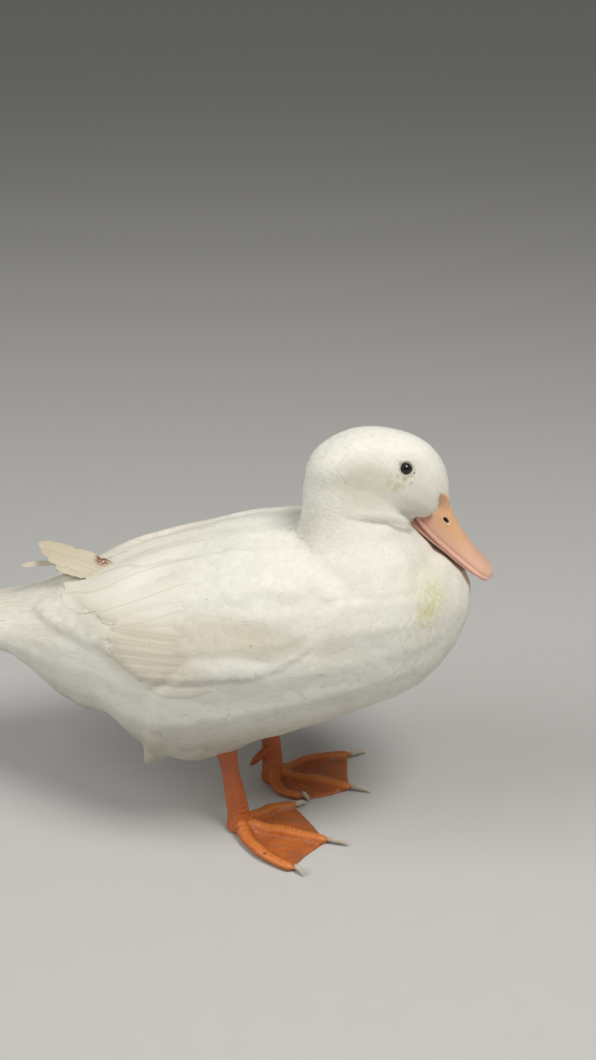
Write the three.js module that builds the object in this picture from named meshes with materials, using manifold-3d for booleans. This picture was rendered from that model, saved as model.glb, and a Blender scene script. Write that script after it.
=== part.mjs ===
// A white domestic duck (Pekin type), standing at rest with its head drawn down on its breast.
//
// Millimetres. +X is forward, +Y is the duck's left and +Z is up. The feet stand at z = 0.
// Head, neck, breast, trunk and rump are one smooth body, modelled whole and then parted by
// thin cuts. Wings, legs, bill, eyes and tail are solids of their own.

import * as THREE from 'three';
import { mergeVertices } from 'three/addons/utils/BufferGeometryUtils.js';
import Module from 'manifold-3d';

const wasm = await Module();
wasm.setup();

// ---------------------------------------------------------------- driving dimensions

const GAP = 0.3;
const HUGE = 900;

// Body: x, top, bottom and half width of each cross-section, breast to rump.
const TRUNK_STATIONS = [
  [181, 206, 206, 0],
  [178, 222, 188, 24],
  [166, 238, 163, 44],
  [148, 250, 142, 61],
  [122, 259, 127, 77],
  [86, 262, 111, 88],
  [46, 261, 93, 93],
  [4, 255, 76, 94],
  [-36, 244, 64, 92],
  [-70, 231, 69, 84],
  [-100, 218, 93, 74],
  [-130, 205, 92, 61],
  [-158, 192, 117, 50],
  [-184, 180, 136, 42],
  [-208, 172, 141, 37],
  [-228, 168, 146, 27],
  [-234, 157, 157, 0],
];
const TRUNK_SQUARENESS = 2.3;
const TRUNK_WIDEST = 0.5;

// Neck: z, back, front and half width of each level slice, measured from the head's pivot.
const PIVOT_X = 100;
const HEAD_YAW = 8;
const NECK_STATIONS = [
  [172, 0, 0, 0],
  [182, -70, 66, 58],
  [205, -76, 71, 74],
  [230, -68, 63, 71],
  [250, -58, 50, 59],
  [268, -51, 36, 45],
  [285, -49.5, 30, 36],
  [302, -48.5, 24, 31],
  [318, -44, 16, 26],
  [328, -36, 6, 17],
  [333, -18, -18, 0],
];
const NECK_ROUNDNESS = 2.1;
const NECK_TURN_START = 205;
const NECK_TURN_END = 285;

// Head: distance along its axis, height above and below it, and half width.
const HEAD_ORIGIN = [15, 302];
const HEAD_PITCH = 40;
const HEAD_STATIONS = [
  [51, 9, 9, 0],
  [49.5, 14, 1, 8],
  [46, 18, -7, 14],
  [40, 24, -10, 18],
  [33, 30, -13, 21],
  [24, 35.6, -19, 24],
  [12, 39.6, -27, 26.8],
  [-2, 39.4, -35, 28.6],
  [-17, 33.6, -40, 29.8],
  [-29, 26.4, -42, 30],
  [-41, 16, -42, 28.5],
  [-49, 2, -38, 23],
  [-54, -12, -32, 12],
  [-56, -22, -22, 0],
];
const HEAD_ROUNDNESS = 2.15;

// Bill: distance along its axis, top, cutting edge and half width of the upper mandible.
const BILL_ORIGIN = [48, 274];
const BILL_PITCH = 50;
const UPPER_BILL_STATIONS = [
  [-15, 8, 8, 0],
  [-14, 16, -7, 12],
  [-7, 17.6, -8.6, 14.2],
  [4, 14.8, -9, 14.4],
  [17, 11.2, -8.4, 13.6],
  [31, 9, -6.6, 13.8],
  [45, 8.4, -4, 15.4],
  [57, 8.6, -1.4, 16.6],
  [64.5, 7.8, 0.6, 14.2],
  [68.6, 6.2, 2, 8],
  [69.8, 3.9, 3.9, 0],
];
const LOWER_BILL_STATIONS = [
  [-13, -12, -12, 0],
  [-12, -10, -14.6, 9.5],
  [-2, -9.6, -13.6, 12.4],
  [12, -9, -12.2, 12.4],
  [28, -7.4, -10.4, 12],
  [43, -5.4, -8, 12.8],
  [55, -3.8, -6, 13],
  [61, -2.6, -4.4, 8],
  [63, -3, -3, 0],
];
const BILL_ARCH = 2.3;
const UPPER_BILL_FLOOR = 1.2;
const LOWER_BILL_FLOOR = 3;
const NOSTRIL = { along: 8, side: 8.6, height: 7.4, length: 6.4, width: 2.2, depth: 3 };

const EYE = { along: -0.8, up: 20, side: 20.6, radius: 7 };

// Wing: x, top, bottom and half width of the mantle that it lies on, with the angles of its
// upper and lower edges, shoulder to tip.
const WING_STATIONS = [
  [86, 261, 111, 87, 46, 18],
  [62, 262, 100, 92.5, 62, 6],
  [32, 260, 86, 94.5, 68, 2],
  [0, 255, 75, 95, 70, 3],
  [-32, 246, 66, 93.5, 70, 4],
  [-62, 236, 68, 87.5, 69, 7],
  [-90, 226, 82, 79, 73, 17],
  [-116, 218, 98, 69, 71, 29],
  [-139, 212, 114, 58, 66, 42],
];
const WING_THICKNESS = 6.5;
const WING_RELIEF = 1.6;
const WING_SPLIT_X = -14;

// Folded flight feathers: centre line and half breadth of each blade. The right wing's tip
// crosses above the rump, and the left wing's lies lower, beneath it.
const RIGHT_PRIMARIES = [
  [-84, -24, 212, 7],
  [-102, -16, 217, 11],
  [-122, -9.5, 221, 14],
  [-142, -4, 222.5, 12.5],
  [-157, 0, 224.5, 7],
  [-167, 2, 226, 2],
];
const LEFT_PRIMARIES = [
  [-84, 28, 208, 10],
  [-104, 20, 208, 12],
  [-122, 13, 206, 11],
  [-138, 7, 204.5, 7],
  [-150, 3, 203.5, 2],
];
const LEFT_OUTER_FEATHER = [
  [-112, 16, 205, 2.4],
  [-140, 7, 208, 3],
  [-163, 1, 208.5, 2.8],
  [-181, -3, 206.5, 1],
];
const BLADE_THICKNESS = 3;
const BLADE_LEAN = 66;

// Tail fan: x, height of the middle, half width and thickness, root to tip.
const TAIL_STATIONS = [
  [-206, 157, 32, 18],
  [-222, 157.5, 37, 13],
  [-238, 158.5, 41, 9],
  [-253, 160.5, 42, 5],
  [-264, 162.5, 37, 3],
];
const TAIL_TIP_ROUNDING = 9;
const TAIL_CROWN = 7;

// Legs. A toe has the bearing of its tip from straight ahead, in degrees to the left, the
// extra bearing that it leaves the ankle with, its length and its claw's.
const LEGS = {
  right: {
    hip: [-30, -50, 104],
    hock: [-4, -45, 79],
    ankle: [4.5, -41, 14],
    toes: {
      inner: { bearing: 43, length: 56, curl: 26, claw: 8 },
      middle: { bearing: -5, length: 76, curl: 0, claw: 14 },
      outer: { bearing: -41, length: 73, curl: -32, claw: 8 },
    },
    hindBearing: 130,
  },
  left: {
    hip: [-10, 50, 106],
    hock: [12, 45, 79],
    ankle: [18.5, 33, 14],
    toes: {
      inner: { bearing: -38, length: 38, curl: -58, claw: 6 },
      middle: { bearing: -3, length: 70, curl: 8, claw: 14 },
      outer: { bearing: 38, length: 79, curl: 26, claw: 12 },
    },
    hindBearing: 205,
  },
};
const ANKLE_CUT_Z = 16;
const SHANK = { frontToBack: 7, sideToSide: 5.6, hock: 9.4, ankle: 9 };
// The pad under the ankle rests flat on the floor.
const HEEL_PAD = { halfLength: 10.4, sunk: 5 };
const TOE_RADIUS = 5;
const TOE_SPREAD = 1.3;
const HIND_TOE = { length: 17, rootZ: 38, tipZ: 22 };
const WEB_THICKNESS = { root: 3.6, edge: 1.8 };
const WEB_RISE = 3.2;
const WEB_FLAT_FROM = 0.5;
const WEB_REACH = 0.93;
const WEB_NOTCH = 0.08;

const MATERIALS = {
  plumage: { color: 0xefece2, roughness: 0.85 },
  flight: { color: 0xe2d6bc, roughness: 0.7 },
  bill: { color: 0xe0a980, roughness: 0.5 },
  eye: { color: 0x11131a, roughness: 0.08 },
  foot: { color: 0xd9602a, roughness: 0.6 },
  claw: { color: 0xd8cbb4, roughness: 0.5 },
};

// ---------------------------------------------------------------- helpers

const radians = THREE.MathUtils.degToRad;
const { lerp, smoothstep } = THREE.MathUtils;

// A smooth curve through table rows: returns the interpolated row at t = 0..1.
function table(rows) {
  const width = rows[0].length;
  const curves = [];
  for (let column = 0; column < width; column += 3) {
    const points = rows.map((row) => {
      const [a, b = 0, c = 0] = row.slice(column, column + 3);
      return new THREE.Vector3(a, b, c);
    });
    curves.push(new THREE.CatmullRomCurve3(points, false, 'catmullrom', 0.5));
  }
  return (t) => {
    const inside = THREE.MathUtils.clamp(t, 0, 1);
    return curves.flatMap((curve) => curve.getPoint(inside).toArray()).slice(0, width);
  };
}

// Moves every vertex of a three.js geometry by a function of its old position.
function mapped(geometry, move) {
  const position = geometry.attributes.position;
  const point = new THREE.Vector3();
  for (let i = 0; i < position.count; i += 1) {
    point.fromBufferAttribute(position, i);
    const target = move(point);
    position.setXYZ(i, target.x, target.y, target.z);
  }
  return geometry;
}

// A closed manifold solid from a closed geometry, turned so that its faces point out.
function solid(geometry) {
  const bare = new THREE.BufferGeometry();
  bare.setAttribute('position', geometry.attributes.position);
  bare.setIndex(geometry.index);
  const merged = mergeVertices(bare, 1e-3);
  const vertices = new Float32Array(merged.attributes.position.array);
  const kept = [];
  for (let i = 0; i < merged.index.count; i += 3) {
    const corners = [0, 1, 2].map((k) => merged.index.array[i + k]);
    if (new Set(corners).size === 3) {
      kept.push(...corners);
    }
  }
  const corner = (index) => new THREE.Vector3().fromArray(vertices, 3 * index);
  let volume = 0;
  for (let i = 0; i < kept.length; i += 3) {
    const cross = corner(kept[i + 1]).cross(corner(kept[i + 2]));
    volume += corner(kept[i]).dot(cross) / 6;
  }
  if (volume < 0) {
    kept.reverse();
  }
  const mesh = new wasm.Mesh({
    numProp: 3,
    vertProperties: vertices,
    triVerts: new Uint32Array(kept),
  });
  return new wasm.Manifold(mesh);
}

// The geometry of a finished solid.
function geometryOf(body) {
  const mesh = body.getMesh();
  const geometry = new THREE.BufferGeometry();
  geometry.setAttribute('position', new THREE.BufferAttribute(mesh.vertProperties, 3));
  geometry.setIndex(new THREE.BufferAttribute(mesh.triVerts, 1));
  return geometry;
}

const power = (value, exponent) => Math.sign(value) * Math.abs(value) ** exponent;

// A closed loft. Each row holds along, up, down, half width and, where it isn't simply a
// share of the height, the level of the greatest width. The section is a superellipse, and
// place() puts a point (along, across, height) in space.
function loft(rows, place, { roundness = 2, widest = 0.5, grow = 0, around = 28, along = 28 } = {}) {
  const row = table(rows);
  const heading = Math.sign(row(0)[0] - row(1)[0]);
  const ball = new THREE.SphereGeometry(1, around, along);
  return mapped(ball, (p) => {
    const t = Math.acos(THREE.MathUtils.clamp(p.y, -1, 1)) / Math.PI;
    const angle = Math.atan2(p.z, p.x);
    const [distance, up, down, halfWidth, level] = row(t);
    const middle = level ?? lerp(down, up, widest);
    const ring = Math.sin(Math.PI * t) > 1e-6 ? 1 : 0;
    const reach = Math.sin(angle) > 0 ? up - middle : middle - down;
    const across = ring * (halfWidth + grow) * power(Math.cos(angle), 2 / roundness);
    const height = middle + ring * (reach + grow) * power(Math.sin(angle), 2 / roundness);
    return place(distance + p.y * heading * grow, across, height);
  });
}

// A round limb along a path of [x, y, z, half width, half depth] rows, cut flat at the floor.
function limb(rows, { side = [0, 1, 0], around = 12, along = 16, floor = 0, grow = 0 } = {}) {
  const row = table(rows);
  const ball = new THREE.SphereGeometry(1, around, along);
  const sideways = new THREE.Vector3(...side);
  return mapped(ball, (p) => {
    const t = Math.acos(THREE.MathUtils.clamp(p.y, -1, 1)) / Math.PI;
    const angle = Math.atan2(p.z, p.x);
    const [x, y, z, halfWidth, halfDepth] = row(t);
    const ahead = new THREE.Vector3(...row(Math.min(t + 0.02, 1)).slice(0, 3));
    ahead.sub(new THREE.Vector3(...row(Math.max(t - 0.02, 0)).slice(0, 3))).normalize();
    const depth = new THREE.Vector3().crossVectors(ahead, sideways).normalize();
    const width = new THREE.Vector3().crossVectors(depth, ahead).normalize();
    const swell = Math.min(1, Math.sin(Math.PI * t) * 3.2);
    const point = new THREE.Vector3(x, y, z);
    point.addScaledVector(width, swell * (halfWidth + grow) * Math.cos(angle));
    point.addScaledVector(depth, swell * (halfDepth + grow) * Math.sin(angle));
    point.z = Math.max(point.z, floor);
    return point;
  });
}

// All of space on the side of a plane that its normal points to, as one huge box.
function halfSpace(point, normal) {
  const box = new THREE.BoxGeometry(HUGE, HUGE, HUGE);
  box.translate(0, 0, HUGE / 2 + GAP / 2);
  const aim = new THREE.Quaternion();
  aim.setFromUnitVectors(new THREE.Vector3(0, 0, 1), new THREE.Vector3(...normal).normalize());
  box.applyQuaternion(aim);
  box.translate(...point);
  return solid(box);
}

const opposite = (normal) => normal.map((value) => -value);

// ---------------------------------------------------------------- frames of head and bill

const yaw = radians(HEAD_YAW);

// A point of the head's own upright plane: distance ahead of the pivot, side and height.
function headPlace(ahead, side, height, turn = yaw) {
  const x = PIVOT_X + ahead * Math.cos(turn) - side * Math.sin(turn);
  const y = ahead * Math.sin(turn) + side * Math.cos(turn);
  return new THREE.Vector3(x, y, height);
}

// A frame pitched down from level in the head's plane.
function pitched([ahead, height], pitch) {
  const c = Math.cos(radians(pitch));
  const s = Math.sin(radians(pitch));
  return (along, side, up) => headPlace(ahead + along * c + up * s, side, height - along * s + up * c);
}

const onHead = pitched(HEAD_ORIGIN, HEAD_PITCH);
const onBill = pitched(BILL_ORIGIN, BILL_PITCH);

// ---------------------------------------------------------------- body

function trunkLoft(grow = 0) {
  const place = (x, y, z) => new THREE.Vector3(x, y, z);
  const options = { roundness: TRUNK_SQUARENESS, widest: TRUNK_WIDEST, grow, around: 22, along: 21 };
  return solid(loft(TRUNK_STATIONS, place, options));
}

function neckLoft(grow = 0) {
  const place = (z, side, ahead) => {
    const turn = yaw * smoothstep(z, NECK_TURN_START, NECK_TURN_END);
    return headPlace(ahead, side, z, turn);
  };
  const rows = NECK_STATIONS.map(([z, back, front, halfWidth]) => [z, front, back, halfWidth]);
  return solid(loft(rows, place, { roundness: NECK_ROUNDNESS, grow, around: 18, along: 12 }));
}

function headLoft(grow = 0) {
  const options = { roundness: HEAD_ROUNDNESS, widest: 0.48, grow, around: 16, along: 14 };
  return solid(loft(HEAD_STATIONS, onHead, options));
}

function wholeBody(grow = 0) {
  return trunkLoft(grow).add(neckLoft(grow)).add(headLoft(grow));
}

// ---------------------------------------------------------------- bill and eyes

// Each mandible is arched above its cutting edge and shallow below it.
function mandible(stations, floor, grow = 0) {
  const rows = stations.map(([along, top, edge, halfWidth]) => {
    const closed = halfWidth === 0;
    return [along, top, closed ? edge : edge - floor, halfWidth, edge];
  });
  return solid(loft(rows, onBill, { roundness: BILL_ARCH, grow, around: 12, along: 13 }));
}

function nostrilCut(side) {
  const ball = new THREE.SphereGeometry(0.5, 8, 5);
  ball.scale(NOSTRIL.length, NOSTRIL.depth, NOSTRIL.width);
  ball.rotateZ(radians(-12));
  const hole = mapped(ball, (p) => {
    return onBill(NOSTRIL.along + p.x, side * (NOSTRIL.side + 2 + p.y), NOSTRIL.height + p.z);
  });
  return solid(hole);
}

function eyeBall(side, grow = 0) {
  const ball = new THREE.SphereGeometry(EYE.radius + grow, 11, 8);
  const centre = onHead(EYE.along, side * EYE.side, EYE.up);
  ball.translate(centre.x, centre.y, centre.z);
  return solid(ball);
}

// ---------------------------------------------------------------- wings

// A point of the folded wing: u from shoulder to tip, v from upper to lower edge.
function wingPoint(side, u, v, lift) {
  const [x, top, bottom, halfWidth, upper, lower] = table(WING_STATIONS)(u);
  const angle = radians(lerp(upper, lower, v));
  const middle = (top + bottom) / 2;
  const exponent = 2 / TRUNK_SQUARENESS;
  const y = halfWidth * power(Math.cos(angle), exponent);
  const z = middle + (top - middle) * power(Math.sin(angle), exponent);
  const y2 = y + lift * Math.cos(angle);
  const z2 = z + lift * Math.sin(angle);
  return new THREE.Vector3(x, side * y2, z2);
}

// The folded wing is a shell, thinned and rounded towards its edge.
function wingShell(side, grow = 0) {
  const box = new THREE.BoxGeometry(1, 1, 1, 11, 5, 1);
  const shell = mapped(box, (p) => {
    const corner = 0.16 * Math.abs(2 * p.x) ** 6;
    const u = p.x + 0.5;
    const v = 0.5 + p.y * (1 - corner) + Math.sign(p.y) * grow / 90;
    const edge = 1 - Math.max(Math.abs(2 * p.x) ** 4, Math.abs(2 * p.y) ** 4);
    const outer = WING_RELIEF * (0.6 + 0.4 * edge) + grow;
    const inner = -WING_THICKNESS * (0.55 + 0.45 * edge) - grow;
    const point = wingPoint(side, u, v, p.z > 0 ? outer : inner);
    point.x -= 2 * p.x * grow;
    return point;
  });
  return solid(shell);
}

// A flat blade of stacked flight feathers, leaning in over the rump.
function blade(rows, lean, grow = 0) {
  const row = table(rows);
  const box = new THREE.BoxGeometry(1, 1, 1, 8, 2, 1);
  const tall = new THREE.Vector3(0, -Math.sin(radians(lean)), Math.cos(radians(lean)));
  const out = new THREE.Vector3(0, Math.cos(radians(lean)), Math.sin(radians(lean)));
  const shell = mapped(box, (p) => {
    const [x, y, z, halfDepth] = row(p.x + 0.5);
    const thickness = BLADE_THICKNESS * (1 - 0.45 * (p.x + 0.5)) + 2 * grow;
    const bulge = 1.5 * (1 - (2 * p.y) ** 2);
    const point = new THREE.Vector3(x, y, z);
    point.addScaledVector(tall, 2 * p.y * (halfDepth + grow));
    return point.addScaledVector(out, p.z * thickness + bulge);
  });
  return solid(shell);
}

// ---------------------------------------------------------------- tail

function tailFan() {
  const row = table(TAIL_STATIONS);
  const box = new THREE.BoxGeometry(1, 1, 1, 5, 6, 1);
  const fan = mapped(box, (p) => {
    const t = p.x + 0.5;
    const [x, z, halfWidth, thickness] = row(t);
    const across = 2 * p.y;
    const pulled = TAIL_TIP_ROUNDING * t * t * across * across * 1.6;
    const crown = -TAIL_CROWN * across * across;
    return new THREE.Vector3(x + pulled, across * halfWidth, z + crown + p.z * thickness);
  });
  return solid(fan);
}

// ---------------------------------------------------------------- legs

// The thigh's feathers end in a soft point behind the hock.
function thighLoft(leg, side) {
  const [hipX, hipY, hipZ] = leg.hip;
  return solid(limb([
    [hipX + 4, hipY, hipZ + 34, 4, 6],
    [hipX + 2, hipY, hipZ + 18, 24, 36],
    [hipX - 2, hipY + side * 2, hipZ, 27, 37],
    [hipX - 11, hipY + side, hipZ - 9, 22, 22],
    [hipX - 24, hipY, hipZ - 18, 13, 12],
    [hipX - 33, hipY, hipZ - 29, 5, 5],
    [hipX - 35, hipY, hipZ - 37, 1, 1],
  ], { around: 10, along: 9 }));
}

function shankLimb(leg, grow = 0) {
  const [hockX, hockY, hockZ] = leg.hock;
  const [x, y, z] = leg.ankle;
  const thin = SHANK.sideToSide;
  const down = (t, halfWidth, halfDepth) => {
    return [lerp(hockX, x, t), lerp(hockY, y, t), lerp(hockZ, z, t), halfWidth, halfDepth];
  };
  return solid(limb([
    down(-0.25, thin, SHANK.hock * 0.8),
    down(-0.04, thin * 1.25, SHANK.hock),
    down(0.26, thin * 1.05, SHANK.frontToBack),
    down(0.54, thin, lerp(SHANK.frontToBack, SHANK.ankle, 0.5)),
    down(0.82, thin * 1.1, SHANK.ankle),
    down(1, thin * 1.4, SHANK.ankle * 1.04),
    [x, y, z * 0.5, thin * 1.65, HEEL_PAD.halfLength],
    [x, y, 1.5, thin * 1.7, HEEL_PAD.halfLength],
    [x, y, -HEEL_PAD.sunk, thin * 1.5, HEEL_PAD.halfLength * 0.9],
  ], { around: 10, along: 14, floor: 0, grow }));
}

// A point of the foot: how far along a toe, or between two toes, from ankle to tip.
function footPoint(leg, toe, share, extra = 0) {
  const bearing = radians(toe.bearing + toe.curl * Math.max(0, 1 - share));
  const reach = toe.length * share + extra;
  return [leg.ankle[0] + 2 + reach * Math.cos(bearing), leg.ankle[1] + reach * Math.sin(bearing)];
}

function toeAcross(toe) {
  const bearing = radians(toe.bearing - toe.curl * 0.6);
  return [-Math.sin(bearing), Math.cos(bearing), 0];
}

function toeLimb(leg, toe) {
  const rows = [0, 0.18, 0.36, 0.54, 0.72, 0.88, 1].map((share, joint) => {
    const knuckle = joint % 2 ? 1 : 0.88;
    const half = TOE_RADIUS * lerp(1.15, 0.66, share) * knuckle;
    const height = lerp(8.6, 3.1, share ** 0.6);
    return [...footPoint(leg, toe, share), height, half * TOE_SPREAD, half];
  });
  return solid(limb(rows, { side: toeAcross(toe), around: 7, along: 8 }));
}

// The web spans two toes, lies flat on the floor in front and is notched between their tips.
function webPlate(leg, first, second) {
  const box = new THREE.BoxGeometry(1, 1, 1, 4, 4, 1);
  const web = mapped(box, (p) => {
    const across = p.y + 0.5;
    const share = p.x + 0.5;
    const blend = (key) => lerp(first[key], second[key], across);
    const toe = { bearing: blend('bearing'), length: blend('length'), curl: blend('curl') };
    const notch = 1 - WEB_NOTCH * Math.sin(Math.PI * across);
    const lift = WEB_RISE * Math.max(0, 1 - share / WEB_FLAT_FROM) ** 1.5;
    const [x, y] = footPoint(leg, toe, lerp(0.1, WEB_REACH, share) * notch);
    const thickness = lerp(WEB_THICKNESS.root, WEB_THICKNESS.edge, share);
    return new THREE.Vector3(x, y, lift + (p.z + 0.5) * thickness);
  });
  return solid(web);
}

function hindToe(leg) {
  const bearing = radians(leg.hindBearing);
  const [x, y] = leg.ankle;
  const row = (share, half) => {
    const reach = HIND_TOE.length * share;
    const z = lerp(HIND_TOE.rootZ, HIND_TOE.tipZ, share);
    return [x + reach * Math.cos(bearing), y + reach * Math.sin(bearing), z, half, half * 1.2];
  };
  const across = [-Math.sin(bearing), Math.cos(bearing), 0];
  const rows = [row(0, 2.6), row(0.45, 3.2), row(0.85, 3), row(1.05, 2), row(1.25, 0.7)];
  return solid(limb(rows, { side: across, around: 6, along: 6, floor: 1 }));
}

// A claw continues its toe and curves down to the floor.
function clawLimb(leg, toe, grow = 0) {
  const row = (extra, height, half) => {
    return [...footPoint(leg, toe, 1, extra), height, half, half * 1.15];
  };
  return solid(limb([
    row(-5, 4.2, 1.8),
    row(-1, 4.3, 2.1),
    row(toe.claw * 0.4, 4, 1.7),
    row(toe.claw * 0.8, 2.4, 1.1),
    row(toe.claw, 1, 0.5),
  ], { side: toeAcross(toe), around: 6, along: 6, floor: 0.2 - grow, grow }));
}

// ---------------------------------------------------------------- assembly

const group = new THREE.Group();

function addMesh(name, material, body) {
  const settings = { ...MATERIALS[material], metalness: 0 };
  const mesh = new THREE.Mesh(geometryOf(body), new THREE.MeshStandardMaterial(settings));
  mesh.name = name;
  group.add(mesh);
}

const sides = { right: -1, left: 1 };

// Parting planes: a point on each and the direction that it faces.
const HEAD_CUT = { point: [86, 0, 276], normal: [0.06, 0, 1] };
const NECK_CUT = { point: [104, 0, 246], normal: [0.24, 0, 1] };
const BREAST_CUT = { point: [92, 0, 180], normal: [1, 0, -0.18] };
const RUMP_CUT = { point: [-100, 0, 150], normal: [-1, 0, 0.25] };

const above = (cut) => halfSpace(cut.point, cut.normal);
const below = (cut) => halfSpace(cut.point, opposite(cut.normal));

let body = wholeBody();
const bodyWithClearance = wholeBody(GAP);

for (const side of Object.values(sides)) {
  body = body.subtract(wingShell(side, GAP));
  body = body.subtract(eyeBall(side, GAP));
}
const upperBill = mandible(UPPER_BILL_STATIONS, UPPER_BILL_FLOOR);
const upperBillClear = mandible(UPPER_BILL_STATIONS, UPPER_BILL_FLOOR, GAP);
const lowerBill = mandible(LOWER_BILL_STATIONS, LOWER_BILL_FLOOR).subtract(upperBillClear);
const lowerBillClear = mandible(LOWER_BILL_STATIONS, LOWER_BILL_FLOOR, GAP);
body = body.subtract(upperBillClear).subtract(lowerBillClear);

const head = body.intersect(above(HEAD_CUT));
const neck = body.intersect(below(HEAD_CUT)).intersect(above(NECK_CUT));
const lower = body.intersect(below(NECK_CUT));
const breast = lower.intersect(above(BREAST_CUT));
const middle = lower.intersect(below(BREAST_CUT));
const trunk = middle.intersect(below(RUMP_CUT));
const rump = middle.intersect(above(RUMP_CUT));

addMesh('head', 'plumage', head);
addMesh('neck', 'plumage', neck);
addMesh('breast', 'plumage', breast);
addMesh('trunk', 'plumage', trunk);
addMesh('rump', 'plumage', rump);
addMesh('tail', 'plumage', tailFan().subtract(bodyWithClearance));
addMesh('bill_lower', 'bill', lowerBill);
addMesh('bill_upper', 'bill', upperBill.subtract(nostrilCut(-1)).subtract(nostrilCut(1)));

const wingCut = { point: [WING_SPLIT_X, 0, 150], normal: [1, 0, 0.35] };
const primaries = {
  right: blade(RIGHT_PRIMARIES, -BLADE_LEAN),
  left: blade(LEFT_PRIMARIES, BLADE_LEAN).add(blade(LEFT_OUTER_FEATHER, BLADE_LEAN)),
};

for (const [name, side] of Object.entries(sides)) {
  addMesh(`eye_${name}`, 'eye', eyeBall(side));
  const shell = wingShell(side);
  addMesh(`wing_coverts_${name}`, 'plumage', shell.intersect(above(wingCut)));
  addMesh(`wing_secondaries_${name}`, 'plumage', shell.intersect(below(wingCut)));
  const tips = primaries[name].subtract(wingShell(side, GAP)).subtract(bodyWithClearance);
  addMesh(`wing_primaries_${name}`, 'flight', tips);
}

for (const [name, side] of Object.entries(sides)) {
  const leg = LEGS[name];
  const ankleCut = { point: [0, 0, ANKLE_CUT_Z], normal: [0, 0, 1] };
  const thigh = thighLoft(leg, side).subtract(bodyWithClearance).subtract(shankLimb(leg, GAP));
  const shank = shankLimb(leg).subtract(bodyWithClearance);
  addMesh(`thigh_${name}`, 'plumage', thigh);
  addMesh(`shank_${name}`, 'foot', shank.intersect(above(ankleCut)));
  addMesh(`hind_toe_${name}`, 'foot', hindToe(leg).subtract(shankLimb(leg, GAP)));
  const { inner, middle: mid, outer } = leg.toes;
  let foot = shank.intersect(below(ankleCut));
  foot = foot.add(webPlate(leg, inner, mid)).add(webPlate(leg, mid, outer));
  for (const [toeName, toe] of Object.entries(leg.toes)) {
    const bearing = radians(toe.bearing);
    const normal = [Math.cos(bearing), Math.sin(bearing), 0];
    const clawCut = { point: [...footPoint(leg, toe, 1, -1.5), 0], normal };
    foot = foot.add(toeLimb(leg, toe).intersect(below(clawCut)).intersect(below(ankleCut)));
    foot = foot.subtract(clawLimb(leg, toe, GAP).intersect(above(clawCut)));
    addMesh(`claw_${toeName}_${name}`, 'claw', clawLimb(leg, toe).intersect(above(clawCut)));
  }
  addMesh(`foot_${name}`, 'foot', foot);
}

// The origin is the middle of the footprint of the whole duck, on the floor.
const bounds = new THREE.Box3().setFromObject(group);
const centre = bounds.getCenter(new THREE.Vector3());
for (const mesh of group.children) {
  mesh.position.set(-centre.x, -centre.y, -bounds.min.z);
}

export default group;
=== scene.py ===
"""A white domestic duck at rest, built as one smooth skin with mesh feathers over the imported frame.

Shapes are worked out in the design frame of the part: millimetres, x forward, y to the duck's
left, z up from the floor. to_row() turns them into the row frame, in metres.
"""

import heapq
import math

import bpy
import numpy as np
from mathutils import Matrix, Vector, bvhtree, kdtree, noise


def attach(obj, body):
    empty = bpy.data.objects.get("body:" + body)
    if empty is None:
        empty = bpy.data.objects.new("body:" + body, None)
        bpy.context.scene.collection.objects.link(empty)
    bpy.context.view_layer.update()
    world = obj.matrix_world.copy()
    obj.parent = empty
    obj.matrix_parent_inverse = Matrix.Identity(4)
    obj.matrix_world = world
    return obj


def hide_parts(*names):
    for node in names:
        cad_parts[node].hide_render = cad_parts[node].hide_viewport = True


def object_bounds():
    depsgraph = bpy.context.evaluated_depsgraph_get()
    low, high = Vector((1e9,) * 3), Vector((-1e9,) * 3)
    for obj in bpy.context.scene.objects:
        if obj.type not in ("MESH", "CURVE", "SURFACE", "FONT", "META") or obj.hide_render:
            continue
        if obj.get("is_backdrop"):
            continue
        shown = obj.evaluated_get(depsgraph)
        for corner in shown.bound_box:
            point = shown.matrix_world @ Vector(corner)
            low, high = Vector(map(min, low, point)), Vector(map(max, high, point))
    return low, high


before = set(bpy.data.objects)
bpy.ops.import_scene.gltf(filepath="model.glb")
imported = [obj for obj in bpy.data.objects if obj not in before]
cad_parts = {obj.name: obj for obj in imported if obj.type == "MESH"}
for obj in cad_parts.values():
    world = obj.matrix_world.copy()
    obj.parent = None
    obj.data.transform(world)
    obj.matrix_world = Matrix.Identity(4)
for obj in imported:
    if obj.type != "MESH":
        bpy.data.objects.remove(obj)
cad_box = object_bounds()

# ---------------------------------------------------------------- driving values

SEED = 20
DESIGN_SHIFT = np.array([34.33, 0.0, 0.0])
SIDES = {"right": -1, "left": 1}

CAMERA_PLACE = (0.2540, -0.9848, 0.700)
CAMERA_TURN = (66.0, 0.0, 10.0)
CAMERA_LENS = 48.2

FLOOR_HALF = 14.0
# Each lamp: name, place, what it is aimed at, size, power and colour.
LAMPS = [
    ("key", (0.95, -0.65, 1.95), (0, 0, 0.15), 0.9, 32, (1.0, 0.985, 0.95)),
    ("fill", (-1.6, -1.0, 1.7), (0, 0, 0.18), 1.6, 27, (1.0, 0.995, 0.98)),
]
SKY = {"colour": (1.0, 0.99, 0.965, 1), "strength": 0.19}

FLESH = ["head", "neck", "breast", "trunk", "rump"]
FLESH += [f"{n}_{s}" for s in SIDES for n in ("thigh", "wing_coverts", "wing_secondaries")]

PIVOT_X = 100.0
HEAD_YAW = math.radians(8)
HEAD_ORIGIN, HEAD_PITCH = (15.0, 302.0), math.radians(40)
BILL_ORIGIN, BILL_PITCH = (48.0, 274.0), math.radians(50)
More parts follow.
